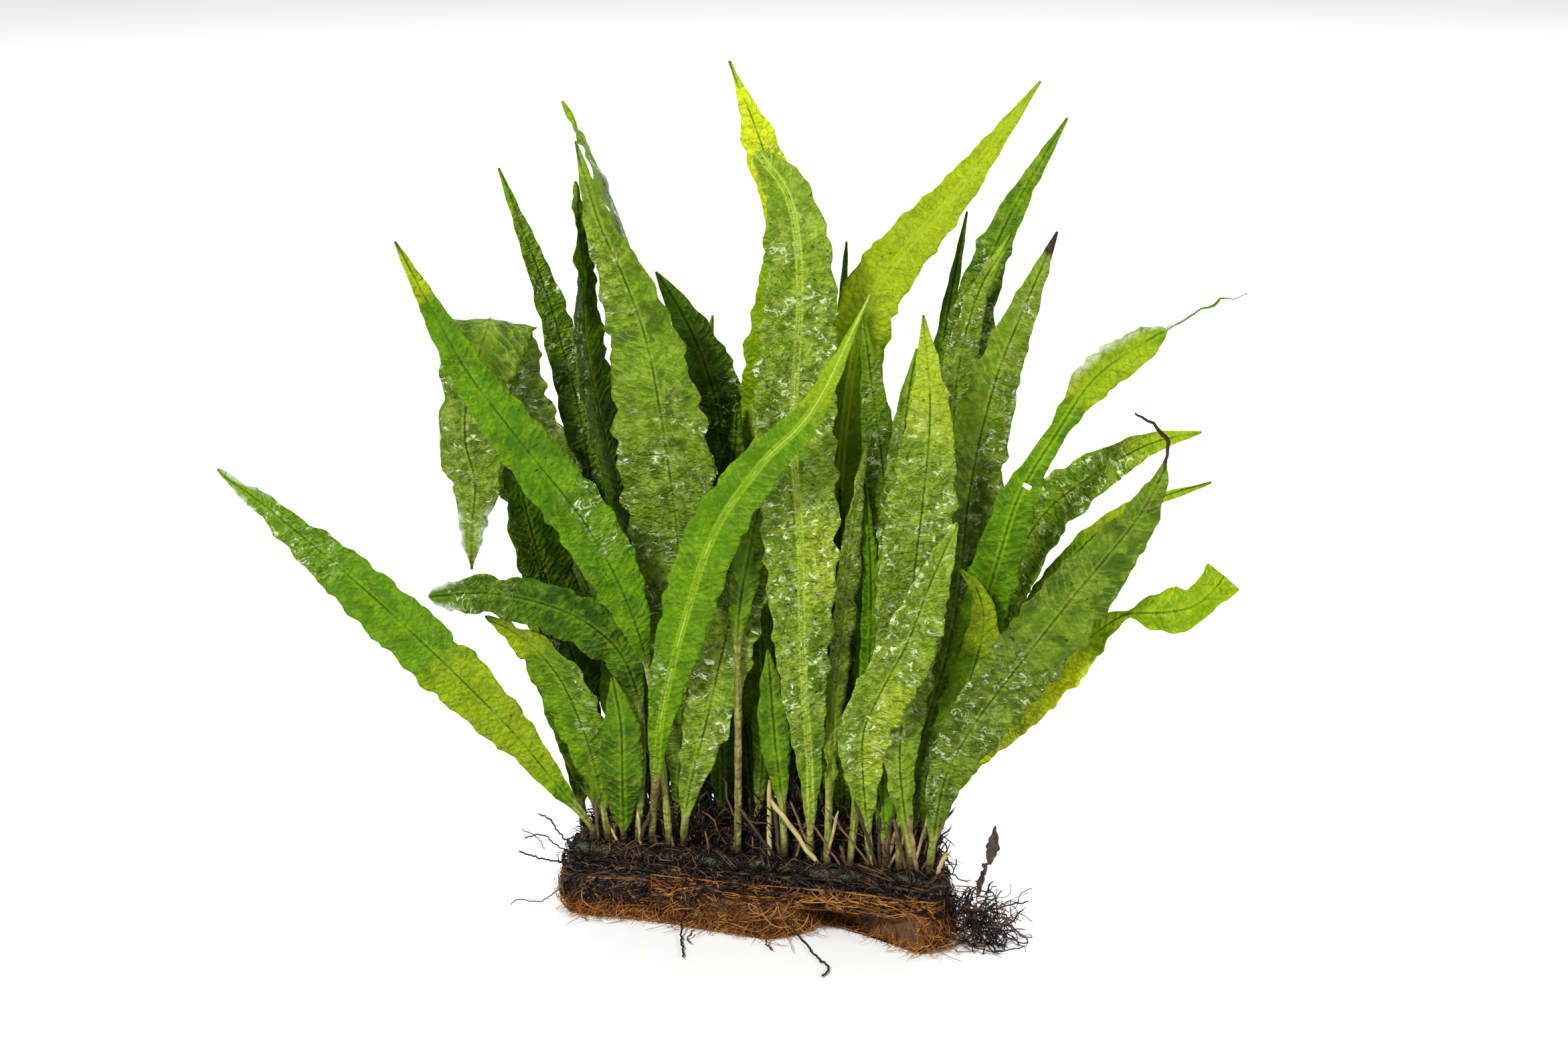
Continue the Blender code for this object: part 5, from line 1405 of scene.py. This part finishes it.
def make_root_loops(mat, mound, rng, root):
    """Looser roots that loop out of the felt."""
    kind = STRANDS["root_loops"]
    start = mound.scattered(rng, kind.count)
    start = raised(start, mound.height(start) + rng.uniform(-0.5, 1.0, kind.count))
    lines = curly_roots(rng, kind, start, any_way(rng, kind), rng.uniform(-0.2, 1.6, kind.count),
                        strides(rng, kind))
    lines[..., :2] = mat.held(lines[..., :2], 1.03)
    surface = mound.height(lines[..., :2])
    lines[..., 2] = np.clip(lines[..., 2], surface - 0.5, surface + 6.0)
    strands("root_loops", lines, rng, root)


def make_thicket(mound, root):
    """Roots that climb between the stalks, and the stubs of dead stalks among them."""
    rng = np.random.default_rng(THICKET_SEED)
    kind = STRANDS["root_thicket"]
    x = rng.uniform(-46.0, 55.0, kind.count)
    front, back = (np.array([rhizome_point(row, place)[1] for place in x]) for row in ("front", "back"))
    y = front + (back - front + 6.0) * rng.uniform(0.06, 1.0, kind.count)
    start = np.stack((x, y), axis=-1)
    start = raised(start, mound.height(start) - 0.5)
    stride = strides(rng, kind) * np.interp(x, *zip(*THICKET_HEIGHT))
    lines = curly_roots(rng, kind, start, any_way(rng, kind), rng.uniform(0.8, 3.5, kind.count), stride)
    lines[..., 2] = np.maximum(lines[..., 2], mound.height(lines[..., :2]) - 0.4)
    strands("root_thicket", lines, rng, root)
    make_dead_stalks(rng)


def make_dead_stalks(rng):
    """The brown stubs of dead stalks, which lean as they rise from the rhizomes."""
    kind = STRANDS["dead_stalks"]
    dead = strand_material("dead_stalk", *DEAD_STALK, 0.6)
    start = on_rhizomes(rng.uniform(-48.0, 55.0, kind.count))
    start[:, 2] += RHIZOME_RADIUS - 0.5
    lean = raised(rng.normal(0.0, 0.28, (kind.count, 2)), np.ones(kind.count))
    share = np.linspace(0.0, 1.0, kind.points)[None, :, None]
    reach = rng.uniform(5.0, 24.0, kind.count)[:, None, None] * share
    waver = rng.normal(0.0, 0.22, (kind.count, kind.points, 3)).cumsum(axis=1) * (1.0, 1.0, 0.0)
    lines = start[:, None, :] + reach * lean[:, None, :] + waver
    strands("dead_stalks", lines, rng, dead, STALK_SIDES)


def make_fringes(mat, mound, root):
    """Roots that hang over the mat's rim, and a ragged lip of roots along the tangle's front edge."""
    rng = np.random.default_rng(FRINGE_SEED)
    make_fringe(mat, rng, root)
    make_lip(mound, rng, root)


def make_fringe(mat, rng, root):
    """Roots that hang over the mat's rim, shorter where its coir shows."""
    kind = STRANDS["root_fringe"]
    each = (kind.count, 1)
    turn = turns_round(rng, FRINGE_TURNS)
    low = np.where(turn < 0.15, rng.uniform(0.30, 0.85, kind.count), rng.uniform(0.7, 0.97, kind.count))
    bare = mat.rim(turn, np.ones(kind.count))[:, 0] > BARE_FROM
    low = np.where(bare & (rng.uniform(0.0, 1.0, kind.count) < 0.8), 0.8 + 0.2 * low, low)
    along = np.linspace(0.0, 1.0, kind.points)[None, :]
    up = 1.0 - (1.0 - low)[:, None] * along ** 0.8
    drift = rng.normal(0, 0.012, each) * along + drifting(rng, kind, 0.004)
    lines = mat.rim(turn[:, None] + drift, np.clip(up, 0.03, 1.0))
    bow = rng.uniform(-0.2, 1.6, each) * np.sin(math.pi * np.linspace(0.1, 1, kind.points))[None, :]
    lines[..., :2] += mat.outward(lines) * (bow + 0.4)[..., None]
    lines[..., 2] += np.linspace(2.2, 0.0, kind.points)[None, :] * rng.uniform(0.2, 1.0, each)
    strands("root_fringe", lines, rng, root)


def make_lip(mound, rng, root):
    """A ragged lip of roots along the tangle's front edge."""
    kind = STRANDS["root_lip"]
    each = (kind.count, 1)
    heading = sideways(rng, kind, 0.8)
    path = wander(rng, kind, strides(rng, kind), heading)
    x = np.clip(rng.uniform(-54.0, 56.0, each) + path[..., 0], -55.0, 57.0)
    z = MAT_THICKNESS + rng.uniform(-1.2, 3.6, each) + 0.6 * path[..., 1]
    y = np.interp(x, mound.across, mound.front) + rng.uniform(-1.3, 0.6, each) + drifting(rng, kind, 0.25)
    y = y + 0.5 * np.clip(z - MAT_THICKNESS - 1.5, 0.0, 4.0)
    z = np.clip(z, MAT_THICKNESS - 2.5, MAT_THICKNESS + 5.0)
    strands("root_lip", np.stack((x, y, z), axis=-1), rng, root)


def make_rhizomes():
    """The creeping stems: knobbly and green brown."""
    stem = rough_material("rhizome_bark", RHIZOME_BARK, 180.0, 0.0006, 0.55, (1.0, 1.6, 1.6))
    rng = np.random.default_rng(RHIZOME_SEED)
    for row, shape in ROWS.items():
        across = np.linspace(shape.left, shape.right, 140)
        line = np.array([rhizome_point(row, x) for x in across])[None]
        knobs = 0.78 + 0.12 * ripple(across, 9.0, rng) + 0.06 * ripple(across, 3.5, rng)
        ends = np.clip(np.minimum(across - shape.left, shape.right - across) / 3.0, 0.0, 1.0)
        radii = RHIZOME_RADIUS * knobs * (0.35 + 0.65 * np.sqrt(ends))
        corners, faces = tubes(line, radii[None], STEM_SIDES)
        new_piece(f"rhizome_{row}_stem", corners, faces, stem, (f"rhizome_{row}",))


def make_rhizome_roots(root):
    """Roots that wind over the rhizomes and hide most of them."""
    rng = np.random.default_rng(RHIZOME_ROOTS_SEED)
    kind = STRANDS["rhizome_roots"]
    each = (kind.count, 1)
    x, y, z = on_rhizomes(rng.uniform(-47.0, 56.0, kind.count)).T[..., None]
    both_ways = np.linspace(-1.0, 1.0, kind.points)[None, :]
    turn = both_ways * rng.uniform(0.7, 1.9, each) + rng.normal(0, 0.5, each)
    radius = RHIZOME_RADIUS + rng.uniform(0.0, 1.2, each) + rng.normal(0, 0.15, (kind.count, kind.points))
    drift = rng.normal(0, 4.0, each) * both_ways
    y = y + radius * np.sin(turn) - 0.36 * drift
    lines = np.stack((x + drift, y, z + radius * np.cos(turn)), axis=-1)
    strands("rhizome_roots", lines, rng, root)


def make_side_growth(root):
    """The loose tuft of roots at the mat's right end and the withered frond that stands in it."""
    rng = np.random.default_rng(SIDE_SEED)
    make_side_roots(rng, root)
    make_withered_frond(rng)


def make_side_roots(rng, root):
    """A loose tuft of roots along the side roots' middle line."""
    kind = STRANDS["side_root_tuft"]
    count = kind.count
    centre = smooth_curve(SIDE_ROOTS, 40)[0]
    starts = centre[rng.integers(0, 30, count)] + rng.normal(0.0, 1.0, (count, 3)) * (3.0, 3.5, 2.5)
    lines = curly_roots(rng, kind, starts, rng.normal(-0.3, 1.1, count), rng.normal(-0.15, 0.35, count),
                        strides(rng, kind))
    lines[..., 2] = np.clip(lines[..., 2], 0.3, 15.0)
    lines[..., 0] = np.minimum(lines[..., 0], 82.0)
    strands("side_root_tuft", lines, rng, root, replaced=("side_roots",))


def make_withered_frond(rng):
    """The small dead frond, crumpled and twisted about its midrib."""
    line = smooth_curve(WITHERED_FROND, 60)[0]
    share = np.linspace(0.0, 1.0, len(line))
    along = 40.0 * share
    bulging = np.sin(math.pi * share)
    width = 1.7 * np.interp(share, *zip(*WITHERED_SHAPE)) + 0.35 * ripple(along, 5.0, rng) * bulging
    t = np.linspace(-1.0, 1.0, 9)
    x = width[:, None] * t[None, :]
    z = 0.9 * np.abs(t)[None, :] ** 1.5 * ripple(along, 6.0, rng)[:, None] \
        + 0.5 * ripple(along, 9.0, rng)[:, None]
    surface, normal = strap_surface(line, carried_frames(line, WITHERED_TURN), x, z * bulging[:, None])
    depth = WITHERED_HALF_THICKNESS * normal
    corners = two_sides(surface + depth, surface - depth)
    dead = rough_material("withered_leaf", WITHERED_LEAF, 420.0, 0.0007, 0.6)
    new_piece("withered_blade", corners, shell_faces(len(line), len(t)).tolist(), dead,
              ("withered_frond",))


def make_stray_roots(root):
    """Single long roots that stand off the mat at its ends and lie in front of it."""
    points = STRANDS["stray_roots"].points
    lines = np.stack([smooth_curve(route, points)[0] for route in STRAY_ROUTES])
    rng = np.random.default_rng(STRAY_SEED)
    lines += rng.normal(0.0, 0.22, lines.shape) * (1.0, 1.0, 0.5)
    lines[..., 2] = np.maximum(lines[..., 2], 0.3)
    strands("stray_roots", lines, rng, root, STALK_SIDES)


def make_camera():
    data = bpy.data.cameras.new("camera")
    data.sensor_width = SENSOR_WIDTH
    data.lens = SENSOR_WIDTH * VIEW_DISTANCE / (PHOTO_WIDTH_PX * MM_PER_PX)
    camera = bpy.data.objects.new("camera", data)
    camera.location = tuple(MM * float(c) for c in EYE)
    camera.rotation_euler = (math.pi / 2 - VIEW_PITCH, 0.0, 0.0)
    bpy.context.scene.collection.objects.link(camera)
    bpy.context.scene.camera = camera


def area_light(name, place, size, power):
    data = bpy.data.lights.new(name, "AREA")
    data.shape = "DISK"
    data.size = size
    data.energy = power
    light = bpy.data.objects.new(name, data)
    light.location = place
    away = unit(np.array(place) - np.array(LAMP_AIM))
    light.rotation_euler = (math.acos(away[2]), 0.0, math.atan2(away[1], away[0]) + math.pi / 2)
    bpy.context.scene.collection.objects.link(light)


def make_studio():
    """A pale floor, a white room and soft lamps: one large above and behind, two in front."""
    g = Graph("studio_floor")
    grain = g.noise(g.node("TexCoord").outputs["Object"], 40.0, 3.0)
    white = g.mix(grain, (0.92, 0.92, 0.92), (0.95, 0.95, 0.95))
    surface = g.node("BsdfPrincipled", {"Base Color": white, "Roughness": 0.9, "Specular IOR Level": 0.1})
    bpy.ops.mesh.primitive_plane_add(size=FLOOR_SIZE, location=(0.0, 0.0, -FLOOR_DROP))
    floor = bpy.context.active_object
    floor.name = "studio_floor"
    floor.data.materials.append(g.finish(surface.outputs[0]))

    world = bpy.data.worlds.new("studio")
    world.use_nodes = True
    background = world.node_tree.nodes["Background"]
    background.inputs["Color"].default_value = (1.0, 1.0, 1.0, 1.0)
    background.inputs["Strength"].default_value = ROOM_STRENGTH
    bpy.context.scene.world = world
    for name, place, size, power in LAMPS:
        area_light(name, place, size, power)


def main():
    make_camera()
    make_studio()
    mat = Mat()
    make_fronds()
    make_rhizomes()
    fibre = make_coir(mat)
    root = make_roots(mat, fibre)
    make_rhizome_roots(root)
    make_side_growth(root)
    make_stray_roots(root)
    bpy.context.scene.view_settings.view_transform = "Standard"


main()
